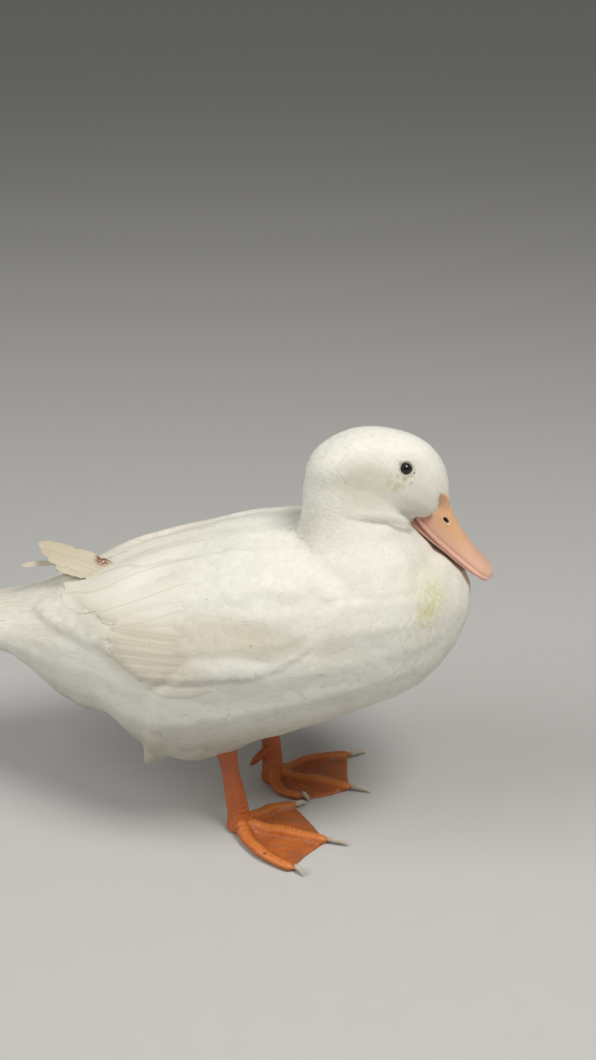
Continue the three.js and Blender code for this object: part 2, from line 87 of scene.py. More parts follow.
# The eye: its place on the left of the face in the head's frame, and the way that it looks out.
EYE_SEAT = np.array([-1.8, 24.0, 20.9])
EYE_OUT = np.array([0.0, 0.917, 0.399])
EYE = {"radius": 6.3, "proud": 0.9, "bulge": 0.45, "bare": 5.2}

rng = np.random.default_rng(SEED)


# ---------------------------------------------------------------- helpers


def to_row(points):
    return (np.asarray(points, float) + DESIGN_SHIFT) * 0.001


def to_design(points):
    return np.asarray(points, float) * 1000.0 - DESIGN_SHIFT


def unit(vectors):
    length = np.linalg.norm(vectors, axis=-1, keepdims=True)
    return vectors / np.maximum(length, 1e-9)


def smoothstep(x, a, b):
    t = np.clip((np.asarray(x, float) - a) / (b - a), 0, 1)
    return t * t * (3 - 2 * t)


def lerp(a, b, t):
    return a + (b - a) * t


def bell(x, middle, width):
    """1 at the middle, falling off to both sides."""
    return np.exp(-(((x - middle) / width) ** 2))


def run_along(line):
    """How far along a line each of its points lies."""
    return np.concatenate([[0], np.cumsum(np.linalg.norm(np.diff(line, axis=0), axis=1))])


def full_turn(count):
    return np.linspace(0, 2 * np.pi, count, endpoint=False)


def search_tree(points):
    tree = kdtree.KDTree(len(points))
    for i, point in enumerate(points):
        tree.insert(point, i)
    tree.balance()
    return tree


def head_place(ahead, side, height, turn=HEAD_YAW):
    x = PIVOT_X + ahead * np.cos(turn) - side * np.sin(turn)
    y = ahead * np.sin(turn) + side * np.cos(turn)
    return np.stack(np.broadcast_arrays(x, y, height), -1)


def pitched(origin, pitch):
    """A frame in the head's upright plane, pitched down: (along, side, up) to design points, and back."""
    c, s = math.cos(pitch), math.sin(pitch)

    def place(along, side, up):
        return head_place(origin[0] + along * c + up * s, side, origin[1] - along * s + up * c)

    def read(points):
        x, y, z = points[..., 0] - PIVOT_X, points[..., 1], points[..., 2]
        ahead = x * math.cos(HEAD_YAW) + y * math.sin(HEAD_YAW) - origin[0]
        side = -x * math.sin(HEAD_YAW) + y * math.cos(HEAD_YAW)
        height = z - origin[1]
        return np.stack([ahead * c - height * s, side, ahead * s + height * c], -1)

    return place, read


on_head, in_head = pitched(HEAD_ORIGIN, HEAD_PITCH)
on_bill, in_bill = pitched(BILL_ORIGIN, BILL_PITCH)


def table(rows, t):
    """Catmull-Rom through table rows at t = 0..1, for an array of t."""
    rows = np.asarray(rows, float)
    ends = [2 * rows[0] - rows[1]], [2 * rows[-1] - rows[-2]]
    padded = np.concatenate([ends[0], rows, ends[1]])
    place = np.clip(np.asarray(t, float), 0, 1) * (len(rows) - 1)
    i = np.minimum(place.astype(int), len(rows) - 2)
    f = (place - i)[..., None]
    p0, p1, p2, p3 = (padded[i + k] for k in range(4))
    m1, m2 = (p2 - p0) / 2, (p3 - p1) / 2
    f2, f3 = f * f, f * f * f
    return (2 * f3 - 3 * f2 + 1) * p1 + (f3 - 2 * f2 + f) * m1 + (3 * f2 - 2 * f3) * p2 + (f3 - f2) * m2


def noise_field(points, sizes):
    return np.array([noise.noise(Vector(p)) for p in points / np.array(sizes, float)])


# ---------------------------------------------------------------- meshes


def fill_mesh(mesh, points, faces):
    """Puts design points and equal-sized faces in a mesh."""
    faces = np.asarray(faces, np.int32)
    count, corners = faces.shape
    mesh.vertices.add(len(points))
    mesh.vertices.foreach_set("co", to_row(points).astype(np.float32).ravel())
    mesh.loops.add(count * corners)
    mesh.loops.foreach_set("vertex_index", faces.ravel())
    mesh.polygons.add(count)
    mesh.polygons.foreach_set("loop_start", np.arange(count, dtype=np.int32) * corners)
    mesh.polygons.foreach_set("use_smooth", np.ones(count, bool))
    mesh.update(calc_edges=True)


def new_piece(name, points, faces, material, replaced=(), attributes=None, uv=None, normals=None):
    """A finished piece of the duck: its mesh, material and attributes, set under the root body."""
    mesh = bpy.data.meshes.new(name)
    fill_mesh(mesh, points, faces)
    for key, values in (attributes or {}).items():
        values = np.asarray(values, np.float32)
        kind = "FLOAT" if values.ndim == 1 else "FLOAT_VECTOR"
        data = mesh.attributes.new(key, kind, "POINT").data
        data.foreach_set("value" if values.ndim == 1 else "vector", values.ravel())
    if uv is not None:
        corner = np.asarray(faces, np.int32).ravel()
        layer = mesh.uv_layers.new(name="OFBake")
        layer.uv.foreach_set("vector", np.asarray(uv, np.float32)[corner].ravel())
    if normals is not None:
        mesh.normals_split_custom_set_from_vertices(np.asarray(normals, np.float32))
    mesh.materials.append(material)
    piece = bpy.data.objects.new(name, mesh)
    bpy.context.scene.collection.objects.link(piece)
    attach(piece, "root")
    if replaced:
        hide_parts(*replaced)
    return piece


def grid_faces(rows, columns, closed=False):
    """Quads of a rows by columns grid of points, its last column joined to its first if closed."""
    r, c = np.meshgrid(np.arange(rows - 1), np.arange(columns if closed else columns - 1), indexing="ij")
    here, right = r * columns + c, r * columns + (c + 1) % columns
    return np.stack([here, right, right + columns, here + columns], -1).reshape(-1, 4)


# ---------------------------------------------------------------- surfaces


# Height of the trunk's middle line, by how far ahead it is.
TRUNK_MIDDLE = [-260, -140, -60, 60, 120, 180], [157, 147, 150, 175, 192, 206]
WING_END = {"from": 88.0, "to": 136.0, "depth": 11.0}


def tucked(points):
    """The wing's hind end sunk into the rump, where the long tertials take its place."""
    x, y, z = points.T
    inward = unit(np.stack([0 * x, -y, np.interp(x, *TRUNK_MIDDLE) - z], -1))
    return points + inward * (WING_END["depth"] * smoothstep(-x, WING_END["from"], WING_END["to"]))[:, None]


def read(collection, key, width, kind=np.float32):
    found = np.empty(len(collection) * width, kind)
    collection.foreach_get(key, found)
    return found.reshape(-1, width)


class Surface:
    """A closed mesh in design millimetres, with the means to smooth it and to find places on it."""

    def __init__(self, nodes, voxel, join=0.4):
        mesh = self.joined(nodes, join)
        holder = bpy.data.objects.new("holder", mesh)
        bpy.context.scene.collection.objects.link(holder)
        remesh = holder.modifiers.new("voxels", "REMESH")
        remesh.mode = "VOXEL"
        remesh.voxel_size = voxel * 0.001
        bpy.context.view_layer.update()
        done = holder.evaluated_get(bpy.context.evaluated_depsgraph_get()).to_mesh()
        self.points = to_design(read(done.vertices, "co", 3))
        self.faces = read(done.polygons, "vertices", 4, np.int32)
        self.edges = read(done.edges, "vertices", 2, np.int32)
        bpy.data.objects.remove(holder)
        bpy.data.meshes.remove(mesh)
        self.drop_islands()
        self.degree = np.bincount(self.edges.ravel(), minlength=len(self.points))[:, None]
        self.find_normals()

    def drop_islands(self):
        """Keeps only the outer shell, and not the small closed hollows that the thin cuts leave inside."""
        label = np.arange(len(self.points))
        a, b = self.edges.T
        while True:
            low = np.minimum(label[a], label[b])
            new = label.copy()
            np.minimum.at(new, a, low)
            np.minimum.at(new, b, low)
            new = new[new]
            if (new == label).all():
                break
            label = new
        keep = label == np.bincount(label).argmax()
        order = np.cumsum(keep) - 1
        self.points = self.points[keep]
        self.faces = order[self.faces[keep[self.faces[:, 0]]]]
        self.edges = order[self.edges[keep[self.edges[:, 0]]]]

    @staticmethod
    def joined(nodes, join):
        """The nodes' own meshes as one, each grown a little so that the thin cuts close."""
        points, faces, start = [], [], 0
        for name in nodes:
            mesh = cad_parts[name].data
            mesh.calc_loop_triangles()
            at = to_design(read(mesh.vertices, "co", 3))
            triangles = read(mesh.loop_triangles, "vertices", 3, np.int32)
            _, first, same = np.unique(at.round(3), axis=0, return_index=True, return_inverse=True)
            at, triangles = at[first], same.reshape(-1)[triangles]
            a, b, c = (at[triangles[:, k]] for k in range(3))
            normal = np.zeros_like(at)
            for k in range(3):
                np.add.at(normal, triangles[:, k], np.cross(b - a, c - a))
            points.append(tucked(at) if name.startswith("wing_secondaries") else at + unit(normal) * join)
            faces.append(triangles + start)
            start += len(at)
        mesh = bpy.data.meshes.new("joined")
        fill_mesh(mesh, np.concatenate(points), np.concatenate(faces))
        return mesh

    def around(self, values):
        """The mean of each vertex's neighbours."""
        a, b = self.edges.T
        flat = values.reshape(len(values), -1)
        columns = []
        for column in flat.T:
            total = np.bincount(a, column[b], len(column)) + np.bincount(b, column[a], len(column))
            columns.append(total)
        return (np.stack(columns, -1) / self.degree).reshape(values.shape)

    def smooth(self, steps, strength=1.0):
        """Smooths the shape without shrinking it."""
        for _ in range(steps):
            for pull in (0.5, -0.53):
                step = pull * np.reshape(strength, (-1, 1))
                self.points = self.points + step * (self.around(self.points) - self.points)
        self.find_normals()

    def soften(self, steps, strength):
        """Melts the shape where the strength is above 0."""
        for _ in range(steps):
            self.points = self.points + 0.5 * strength[:, None] * (self.around(self.points) - self.points)
        self.find_normals()

    def find_normals(self):
        a, b, c, d = (self.points[self.faces[:, k]] for k in range(4))
        face = np.cross(c - a, d - b)
        self.face_area = np.linalg.norm(face, axis=1) / 2
        normal = np.zeros_like(self.points)
        for k in range(4):
            for axis in range(3):
                normal[:, axis] += np.bincount(self.faces[:, k], face[:, axis], len(normal))
        self.normals = unit(normal)

    def make_finder(self):
        self.tree = search_tree(self.points)

    def make_caster(self):
        self.bvh = bvhtree.BVHTree.FromPolygons(self.points.tolist(), self.faces.tolist())

    def cast(self, starts, ways, reach):
        """Where each ray first meets the surface from outside: its run, or nan if it meets nothing."""
        runs = np.full(starts.shape[:-1], np.nan)
        for i in np.ndindex(runs.shape):
            _, normal, _, run = self.bvh.ray_cast(starts[i], ways[i], reach)
            if run is not None and abs(normal.dot(Vector(ways[i]))) > 0.15:
                runs[i] = run
        return runs

    def nearest(self, points):
        flat = np.asarray(points).reshape(-1, 3)
        return np.array([self.tree.find(p)[1] for p in flat], int).reshape(np.shape(points)[:-1])

    def drop(self, points):
        """The points moved on to the surface, with the nearest vertices."""
        index = self.nearest(points)
        gap = np.sum((points - self.points[index]) * self.normals[index], -1, keepdims=True)
        return points - gap * self.normals[index], index


# ---------------------------------------------------------------- materials


class Nodes:
    """A short way to write a node tree."""

    def __init__(self, name):
        self.material = bpy.data.materials.new(name)
        self.material.use_nodes = True
        self.tree = self.material.node_tree
        self.shader = self.tree.nodes["Principled BSDF"]

    def add(self, kind, inputs=None, **settings):
        node = self.tree.nodes.new(kind)
        for key, value in settings.items():
            setattr(node, key, value)
        for key, value in (inputs or {}).items():
            self.put(node.inputs[key], value)
        return node

    def put(self, socket, value):
        if isinstance(value, bpy.types.NodeSocket):
            self.tree.links.new(value, socket)
        elif isinstance(value, tuple) and len(value) == 3 and socket.type == "RGBA":
            socket.default_value = (*value, 1.0)
        else:
            socket.default_value = value

    def place(self):
        return self.add("ShaderNodeTexCoord").outputs["Object"]

    def attribute(self, name, part="Fac"):
        return self.add("ShaderNodeAttribute", attribute_name=name).outputs[part]

    def split(self, vector):
        return self.add("ShaderNodeSeparateXYZ", {"Vector": vector}).outputs

    def joined(self, x, y, z):
        return self.add("ShaderNodeCombineXYZ", {0: x, 1: y, 2: z}).outputs[0]

    def math(self, operation, a, b=0.0, c=0.0, clamp=False):
        inputs = {0: a, 1: b, 2: c}
        return self.add("ShaderNodeMath", inputs, operation=operation, use_clamp=clamp).outputs[0]

    def times(self, first, *others):
        for other in others:
            first = self.math("MULTIPLY", first, other)
        return first

    def ramp(self, value, low, high, to_low=0.0, to_high=1.0):
        inputs = {"Value": value, "From Min": low, "From Max": high, "To Min": to_low, "To Max": to_high}
        return self.add("ShaderNodeMapRange", inputs, interpolation_type="SMOOTHSTEP").outputs[0]

    def noise(self, vector, scale, detail=3.0, rough=0.5):
        inputs = {"Vector": vector, "Scale": scale, "Detail": detail, "Roughness": rough}
        return self.add("ShaderNodeTexNoise", inputs).outputs["Fac"]

    def mix(self, factor, a, b, blend="MIX"):
        node = self.add("ShaderNodeMix", data_type="RGBA", blend_type=blend)
        self.put(node.inputs[0], factor)
        self.put(node.inputs[6], a)
        self.put(node.inputs[7], b)
        return node.outputs[2]

    def tint(self, colour, wanted, *shares):
        """The colour turned towards the wanted one, by the product of the shares."""
        return self.mix(self.times(*shares), colour, wanted)

    def blob(self, vector, centre, radii, soft=0.5):
        """1 inside an ellipsoid, given in design millimetres, and 0 outside it, with a soft edge."""
        middle, sizes = tuple(to_row(centre)), tuple(np.asarray(radii, float) * 0.001)
        kind = "ShaderNodeVectorMath"
        moved = self.add(kind, {0: vector, 1: middle}, operation="SUBTRACT").outputs[0]
        scaled = self.add(kind, {0: moved, 1: sizes}, operation="DIVIDE").outputs[0]
        length = self.add(kind, {0: scaled}, operation="LENGTH").outputs["Value"]
        return self.ramp(length, 1 - soft, 1 + soft, 1.0, 0.0)

    def bump(self, height, strength, distance):
        inputs = {"Height": height, "Strength": strength, "Distance": distance}
        return self.add("ShaderNodeBump", inputs).outputs[0]

    def finish(self, colour, roughness, normal=None):
        self.put(self.shader.inputs["Base Color"], colour)
        self.put(self.shader.inputs["Roughness"], roughness)
        if normal is not None:
            self.put(self.shader.inputs["Normal"], normal)
        return self.material


# Marks on the plumage: place, radii, softness, colour, share and whether noise breaks them up. The first
# eight are stains and tints; the last three are painted shade under the belly, the vent and the breast.
STAINS_AND_UNDERSIDE_SHADE = [
    ((6, -90, 206), (46, 30, 14), 0.5, (0.66, 0.58, 0.45), 0.6, False),
    ((44, -92, 204), (26, 30, 12), 0.5, (0.62, 0.56, 0.43), 0.35, False),
    ((-50, -86, 184), (42, 30, 22), 0.45, (0.64, 0.56, 0.43), 0.6, False),
    ((-84, -74, 200), (40, 24, 10), 0.5, (0.66, 0.60, 0.46), 0.35, False),
    ((-150, -30, 196), (70, 60, 30), 0.5, (0.68, 0.64, 0.52), 0.35, False),
    ((154, -46, 226), (9, 22, 14), 0.5, (0.64, 0.60, 0.24), 0.8, True),
    ((150, -44, 214), (7, 22, 12), 0.5, (0.66, 0.62, 0.31), 0.6, True),
    ((150, -40, 236), (18, 24, 24), 0.5, (0.74, 0.70, 0.50), 0.4, False),
    # Painted shade: the underside made darker under the belly, the vent and the lower breast.
    ((-30, -40, 76), (140, 74, 42), 0.8, (0.40, 0.365, 0.295), 0.9, False),
    ((-120, 0, 106), (74, 64, 50), 0.7, (0.42, 0.39, 0.32), 0.85, False),
    ((90, -40, 102), (74, 70, 30), 0.8, (0.44, 0.40, 0.32), 0.8, False),
]
# The shade in the fold under the cheek: it bends at a place (x, z), and rises to the rear at two slopes.
FOLD = {
    "bend": (117, 279), "behind": 0.21, "ahead": 0.66, "half": 1.7, "share": (0.12, 0.6),
    "colour": (0.34, 0.30, 0.23),
}
# The same on the face, as distances along the eye's own axes.
FACE_MARKS = [
    ((0.0, 0.0), 5.6, 0.22, (0.10, 0.095, 0.10), 0.8, False),
    ((-6.2, 0.4), 2.6, 0.5, (0.22, 0.20, 0.18), 0.55, True),
    ((6.0, -4.6), 4.6, 0.5, (0.40, 0.31, 0.18), 0.6, True),
    ((0.5, -12.0), 8.0, 0.5, (0.60, 0.53, 0.29), 0.7, True),
    ((3.0, 1.0), 11.0, 0.5, (0.64, 0.59, 0.45), 0.4, False),
    ((-15.0, -26.0), 21.0, 0.5, (0.60, 0.55, 0.41), 0.6, False),
]


def fold_shade(n, mirror):
    """1 along the fold under the cheek, from the gape back, fading to the rear."""
    x, y, z = n.split(mirror)
    bend_x, _, bend_z = to_row([FOLD["bend"][0], 0, FOLD["bend"][1]])
    run = n.math("SUBTRACT", float(bend_x), x)
    rise = n.math("MINIMUM", n.times(run, FOLD["behind"]), n.times(run, FOLD["ahead"]))
    gap = n.math("ABSOLUTE", n.math("SUBTRACT", n.math("SUBTRACT", z, float(bend_z)), rise))
    line = n.ramp(gap, 0.0002, 0.001 * FOLD["half"], 1.0, 0.0)
    fade = n.ramp(run, 0.034, -0.010, *FOLD["share"])
    ends = n.times(n.ramp(run, 0.036, 0.026), n.ramp(run, -0.022, -0.016))
    outside = n.ramp(y, -0.009, -0.015)
    return n.times(line, fade, ends, outside)


def marked(n, place, colour):
    """Adds the stains and tints, the painted shade on the underside and the painted shade in the fold under
    the cheek, alike on both sides of the body.
    """
    x, y, z = n.split(place)
    mirror = n.joined(x, n.times(n.math("ABSOLUTE", y), -1), z)
    broken = n.ramp(n.noise(place, 260, 3, 0.6), 0.42, 0.60)
    # Stains and tints, then the painted shade on the underside.
    for centre, radii, soft, stain_and_shade, share, patchy in STAINS_AND_UNDERSIDE_SHADE:
        shares = (share, broken) if patchy else (share,)
        colour = n.tint(colour, stain_and_shade, n.blob(mirror, centre, radii, soft), *shares)
    colour = n.mix(fold_shade(n, mirror), colour, FOLD["colour"])
    for side in SIDES.values():
        for (along, up), radius, soft, stain_and_shade, share, patchy in FACE_MARKS:
            centre = on_eye(side, along, up, -(along**2 + up**2) / 60)
            shares = (share, broken) if patchy else (share,)
            colour = n.tint(colour, stain_and_shade, n.blob(place, centre, (radius,) * 3, soft), *shares)
    return colour


def feather_material(name):
    """Vaned feathers: barbs, shaft and painted shade at the root from each vane's own coordinates, marks from
    the place on the body.
    """
    colours, worn_and_root_shade, shaft, barbs_along = VANES[name]
    n = Nodes(name)
    place = n.place()
    across, share, chance = n.split(n.attribute("vane", "Vector"))
    colour = n.mix(n.ramp(n.noise(place, 22, 3), 0.3, 0.7), *colours)
    colour = n.tint(colour, worn_and_root_shade, chance, 0.22)
    # Painted shade at each vane's root, where it runs in under the feathers above it.
    root = n.times(n.ramp(share, 0.35, 0.02), n.ramp(share, 0.0, 0.01))
    colour = n.tint(colour, worn_and_root_shade, root, 0.25)
    colour = marked(n, place, colour)
    speck = n.times(n.ramp(n.noise(place, 330, 2), 0.73, 0.77), 0.5)
    colour = n.mix(speck, colour, (0.26, 0.19, 0.11))
    wide = n.math("ABSOLUTE", across)
    wave = n.math("ADD", n.times(share, barbs_along), n.times(wide, -0.12 * barbs_along))
    barbs = n.math("SINE", wave)
    barbs = n.times(n.math("MULTIPLY_ADD", barbs, 0.5, 0.5), n.ramp(share, 0.0, 0.05))
    streak = n.noise(n.joined(n.times(across, 9), share, chance), 6, 3)
    line = n.times(n.ramp(wide, 0.07, 0.02), n.ramp(share, 0.0, 0.05))
    colour = n.tint(colour, (0.50, 0.43, 0.31), line, shaft)
    colour = n.tint(colour, worn_and_root_shade, streak, 0.14)
    height = n.math("ADD", n.times(barbs, 0.35), n.times(streak, 0.65))
    return n, place, colour, n.bump(height, 0.22, 0.0004)


BLOOD = (0.17, 0.035, 0.02)
# Each kind of feather: two ground colours, the worn colour (also used for the painted shade at each vane's
# root), the shaft's share and the waves of its barbs.
VANES = {
    "plumage": (((0.80, 0.78, 0.70), (0.86, 0.845, 0.775)), (0.62, 0.585, 0.49), 0.0, 200),
    "wing_vanes": (((0.79, 0.76, 0.67), (0.85, 0.83, 0.75)), (0.58, 0.52, 0.40), 0.35, 900),
    "flight_vanes": (((0.56, 0.48, 0.34), (0.66, 0.59, 0.45)), (0.36, 0.28, 0.18), 0.7, 800),
}


def bloodied(n, place, colour, centre, radii):
    """A dried stain, broken up by noise."""
    broken = n.ramp(n.noise(place, 420, 3), 0.34, 0.46)
    return n.tint(colour, BLOOD, n.blob(place, centre, radii, 0.35), broken, 0.9)


def plumage_material():
    n, place, colour, bump = feather_material("plumage")
    return n.finish(colour, n.ramp(n.noise(place, 200, 2), 0.2, 0.8, 0.62, 0.82), bump)


def wing_material():
    n, place, colour, bump = feather_material("wing_vanes")
    colour = bloodied(n, place, colour, (-106, -16, 227), (6, 7, 5))
    return n.finish(colour, n.ramp(n.noise(place, 200, 2), 0.2, 0.8, 0.55, 0.75), bump)


def flight_material():
    n, place, colour, bump = feather_material("flight_vanes")
    colour = bloodied(n, place, colour, (-109, -7, 223), (8, 10, 6))
    return n.finish(colour, n.ramp(n.noise(place, 300, 2), 0.2, 0.8, 0.5, 0.7), bump)


def claw_material():
    n = Nodes("claw_horn")
    place = n.place()
    fine = n.noise(place, 500, 4, 0.6)
    colour = n.mix(n.noise(place, 90, 2), (0.72, 0.65, 0.54), (0.50, 0.41, 0.31))
    colour = n.tint(colour, (0.22, 0.15, 0.10), fine, 0.4)
    return n.finish(colour, n.ramp(fine, 0.2, 0.8, 0.35, 0.55), n.bump(fine, 0.3, 0.0003))


def floor_material():
    n = Nodes("floor_paint")
    grain = n.noise(n.place(), 40, 4)
    return n.finish(n.mix(grain, (0.53, 0.525, 0.51), (0.55, 0.545, 0.53)), 0.9)


# ---------------------------------------------------------------- camera, floor and light


def make_camera():
    data = bpy.data.cameras.new("camera")
    data.sensor_fit = "VERTICAL"
    data.sensor_height = 36
    data.lens = CAMERA_LENS
    camera = bpy.data.objects.new("camera", data)
    camera.location = CAMERA_PLACE
    camera.rotation_euler = tuple(math.radians(a) for a in CAMERA_TURN)
    bpy.context.scene.collection.objects.link(camera)
    bpy.context.scene.camera = camera


def make_floor():
    mesh = bpy.data.meshes.new("floor")
    corners = [(x * FLOOR_HALF, y * FLOOR_HALF, 0) for x, y in ((-1, -1), (1, -1), (1, 1), (-1, 1))]
    mesh.from_pydata(corners, [], [(0, 1, 2, 3)])
    floor = bpy.data.objects.new("floor", mesh)
    bpy.context.scene.collection.objects.link(floor)
    mesh.materials.append(floor_material())
    floor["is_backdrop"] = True


def area_light(name, place, aim, size, power, colour):
    data = bpy.data.lights.new(name, "AREA")
    data.shape = "DISK"
    data.size = size
    data.energy = power
    data.color = colour
    lamp = bpy.data.objects.new(name, data)
    lamp.location = place
    lamp.rotation_euler = (Vector(aim) - Vector(place)).to_track_quat("-Z", "Y").to_euler()
    bpy.context.scene.collection.objects.link(lamp)


def make_light():
    for lamp in LAMPS:
        area_light(*lamp)
    world = bpy.data.worlds.new("studio")
    world.use_nodes = True
    sky = world.node_tree.nodes["Background"]
    sky.inputs["Color"].default_value = SKY["colour"]
    sky.inputs["Strength"].default_value = SKY["strength"]
    bpy.context.scene.world = world
    bpy.context.scene.view_settings.view_transform = "Standard"


# ---------------------------------------------------------------- skin and its fields

SKIN_VOXEL = 1.6
CHART_RADIUS = 80.0
# The line, as (x, z), that the skin is unrolled about.
AXIS = [
    (-262, 160), (-230, 157), (-190, 158), (-150, 155), (-100, 152), (-40, 154), (20, 166),
    (70, 182), (100, 205), (112, 235), (112, 262), (118, 290), (140, 290), (165, 262),
]
# Edge of the feathers round the bill's base, in its frame: along by height, and half width by along.
CHEEK_EDGE = [-13, -12.6, -4.8, 3, 11.9, 17.3, 19.5, 30], [9, -12.8, -11.4, -13.8, -18.0, -20.2, -21, -21.5]
FOREHEAD_WEDGE = [-22, -16, -12, -8, -4, 0, 4, 5.75, 10], [22, 18.0, 14.6, 11.0, 7.6, 4.6, 2.0, 0, -5]
# Length of a feather, by how far its root is from the bill; near the tail it is shorter.
FEATHER_LENGTH = (
    [0, 8, 25, 45, 70, 95, 120, 150, 190, 240, 300],
    [2.6, 3.4, 5.0, 7.0, 9.5, 12.5, 16, 21, 26, 30, 34],
)
REAR_SHORTER = 0.25
# How far the skin lies under the coat: at its least, and more for each millimetre of feather.
COAT_DEPTH = {"least": 0.22, "per_length": 0.034}
# How much of the coat's depth the down fills under short and long feathers.
UNDERDOWN = {"short": 0.5, "long": 0.42}


# A tract's raised edge: its height, the width that it rises over and how deep it runs.
SHIELD_RIDGE, WING_RIDGE, LOBE_RIDGE, FRONT_RIDGE = (2.8, 8, 34), (2.6, 5, 24), (4.2, 5, 24), (3.0, 8, 30)
# The fold under the cheek, from the gape back, and the bulge above it and furrow in it.
JAW_FOLD = [
    (134, -12, 269), (127, -23, 275), (117, -31, 280), (106, -35, 282), (95, -38, 284), (84, -37, 287),
]
JAW_BULGE, JAW_FURROW = (1.4, 3.0, 2.8), (2.4, -0.8, 1.7)
# A fullness of the cheek below and behind the eye, along the eye's axes.
CHEEK_FILL = {"place": (4.0, -31.0), "radii": (17.0, 9.0), "height": 2.2}
# The plumage swells round the top of each leg, and a tuft hangs from the rear of each flank.
CUFF = {"height": 4.5, "radius": 15.0, "from": 84.0, "to": 112.0}
TUFT = {"right": (-60, -50, 71), "left": (-40, 50, 73)}
TUFT_PULL, TUFT_RADIUS = np.array([-5.0, 0, -9.0]), 14.0
# Soft swells of the plumage, coarse and fine: their size along, across and up, and their height.
SWELLS = ((42, 20, 17), 0.8), ((15, 7, 7), 0.15)
FINE_SHIFT = 9


def coat_depth(length):
    """How far the skin lies under the coat's surface, from the length of its feathers."""
    return COAT_DEPTH["least"] + COAT_DEPTH["per_length"] * length


def feather_length(points, distance):
    """Length in millimetres of the feather rooted at each place of the skin."""
    return np.interp(distance, *FEATHER_LENGTH) * (1 - REAR_SHORTER * smoothstep(-points[:, 0], 130, 210))


def distance_over(surface, sources):
    """Shortest way along the skin from the sources to each vertex, smoothed."""
    step = np.linalg.norm(surface.points[surface.edges[:, 0]] - surface.points[surface.edges[:, 1]], axis=1)
    links = [[] for _ in surface.points]
    for (a, b), gap in zip(surface.edges.tolist(), step.tolist()):
        links[a].append((b, gap))
        links[b].append((a, gap))
    distance = [math.inf] * len(links)
    queue = [(0.0, int(i)) for i in sources]
    for _, i in queue:
        distance[i] = 0.0
    heapq.heapify(queue)
    while queue:
        so_far, i = heapq.heappop(queue)
        if so_far > distance[i]:
            continue
        for j, gap in links[i]:
            if so_far + gap < distance[j]:
                distance[j] = so_far + gap
                heapq.heappush(queue, (so_far + gap, j))
    distance = np.array(distance)
    distance[np.isinf(distance)] = 0
    for _ in range(60):
        distance = lerp(distance, surface.around(distance), 0.5)
    return distance


def downhill(surface, values):
    """The direction over the surface in which values grow fastest, at each vertex."""
    a, b = surface.edges.T
    gap = surface.points[b] - surface.points[a]
    slope = gap * ((values[b] - values[a]) / np.maximum(np.sum(gap * gap, 1), 1e-6))[:, None]
    count = len(surface.points)
    total = [np.bincount(a, column, count) + np.bincount(b, column, count) for column in slope.T]
    return tangent(np.stack(total, -1), surface.normals)


def tangent(vectors, normals):
    return unit(vectors - np.sum(vectors * normals, -1, keepdims=True) * normals)


def lie_of_coat(surface, distance):
    """The way the feathers point: away from the bill, and more and more straight back along the body."""
    x, y, z = surface.points.T
    flow = downhill(surface, distance)
    side = np.sign(y) * smoothstep(np.abs(y), 10, 60)
    inward, rise = -0.15 * side * smoothstep(-x, 60, 150), 0.1 * smoothstep(-x, 60, 200)
    straight = np.stack([-np.ones_like(x), inward, rise], -1)
    share = 0.75 * smoothstep(distance, 110, 210)[:, None]
    start = tangent(surface.points - on_bill(14, 0, 2), surface.normals)
    flow = lerp(start, flow, smoothstep(distance, 4, 16)[:, None])
    nx, _, nz = surface.normals.T
    on_nape = smoothstep(z, 240, 272) * smoothstep(nz - nx, -0.1, 0.5)
    down_nape = np.stack([-nz, 0 * x, nx], -1) * on_nape[:, None]
    down_nape = down_nape * smoothstep(distance, 20, 60)[:, None]
    flow = tangent(lerp(flow, unit(straight), share) + 1.1 * down_nape, surface.normals)
    for _ in range(12):
        flow = tangent(surface.around(flow), surface.normals)
    return flow


def chart(points):
    """The side of the body laid flat: how far ahead and how far up round the trunk, in millimetres."""
    x, y, z = np.moveaxis(np.asarray(points, float), -1, 0)
    middle = np.interp(x, *TRUNK_MIDDLE)
    return np.stack([x, CHART_RADIUS * np.arctan2(z - middle, np.abs(y))], -1)


def edge_distance(points, outline, shown=None):
    """Distance to a closed outline of the chart, positive inside it, or to its first shown points only."""
    at = chart(points)
    corners = chart(outline)
    inside = np.zeros(at.shape[:-1], bool)
    nearest = np.full(at.shape[:-1], np.inf)
    for k, (a, b) in enumerate(zip(corners, np.roll(corners, -1, axis=0))):
        along = b - a
        if shown is None or k < shown - 1:
            share = np.clip((at - a) @ along / max(along @ along, 1e-9), 0, 1)
            nearest = np.minimum(nearest, np.linalg.norm(at - a - share[..., None] * along, axis=-1))
        crosses = (a[1] > at[..., 1]) != (b[1] > at[..., 1])
        where = a[0] + (at[..., 1] - a[1]) / (along[1] if abs(along[1]) > 1e-9 else 1e-9) * along[0]
        inside ^= crosses & (at[..., 0] < where)
    return np.where(inside, nearest, -nearest)


def tilted(normals, tilt):
    """Straight back over the surface, turned down the side by a tilt in degrees."""
    back = tangent(np.broadcast_to([-1.0, 0, 0], normals.shape), normals)
    down = np.cross(normals, back)
    down = down * np.where(down[..., 2:] > 0, -1, 1)
    turn = np.radians(np.asarray(tilt, float))[..., None]
    return unit(np.cos(turn) * back + np.sin(turn) * down)


def axis_unwrap(points):
    """The skin unrolled about the line that runs through tail, trunk, neck and head."""
    line = table(AXIS, np.linspace(0, 1, 240))
    run = run_along(line)
    ahead = unit(np.gradient(line, axis=0))
    x, y, z = points.T
    gap = (x[:, None] - line[:, 0]) ** 2 + (z[:, None] - line[:, 1]) ** 2
    i = np.argmin(gap, axis=1)
    up = (x - line[i, 0]) * -ahead[i, 1] + (z - line[i, 1]) * ahead[i, 0]
    angle = np.arctan2(y, up)
    return np.stack([0.5 + angle / (2 * np.pi) * 0.98, 0.01 + 0.98 * run[i] / run[-1]], -1)


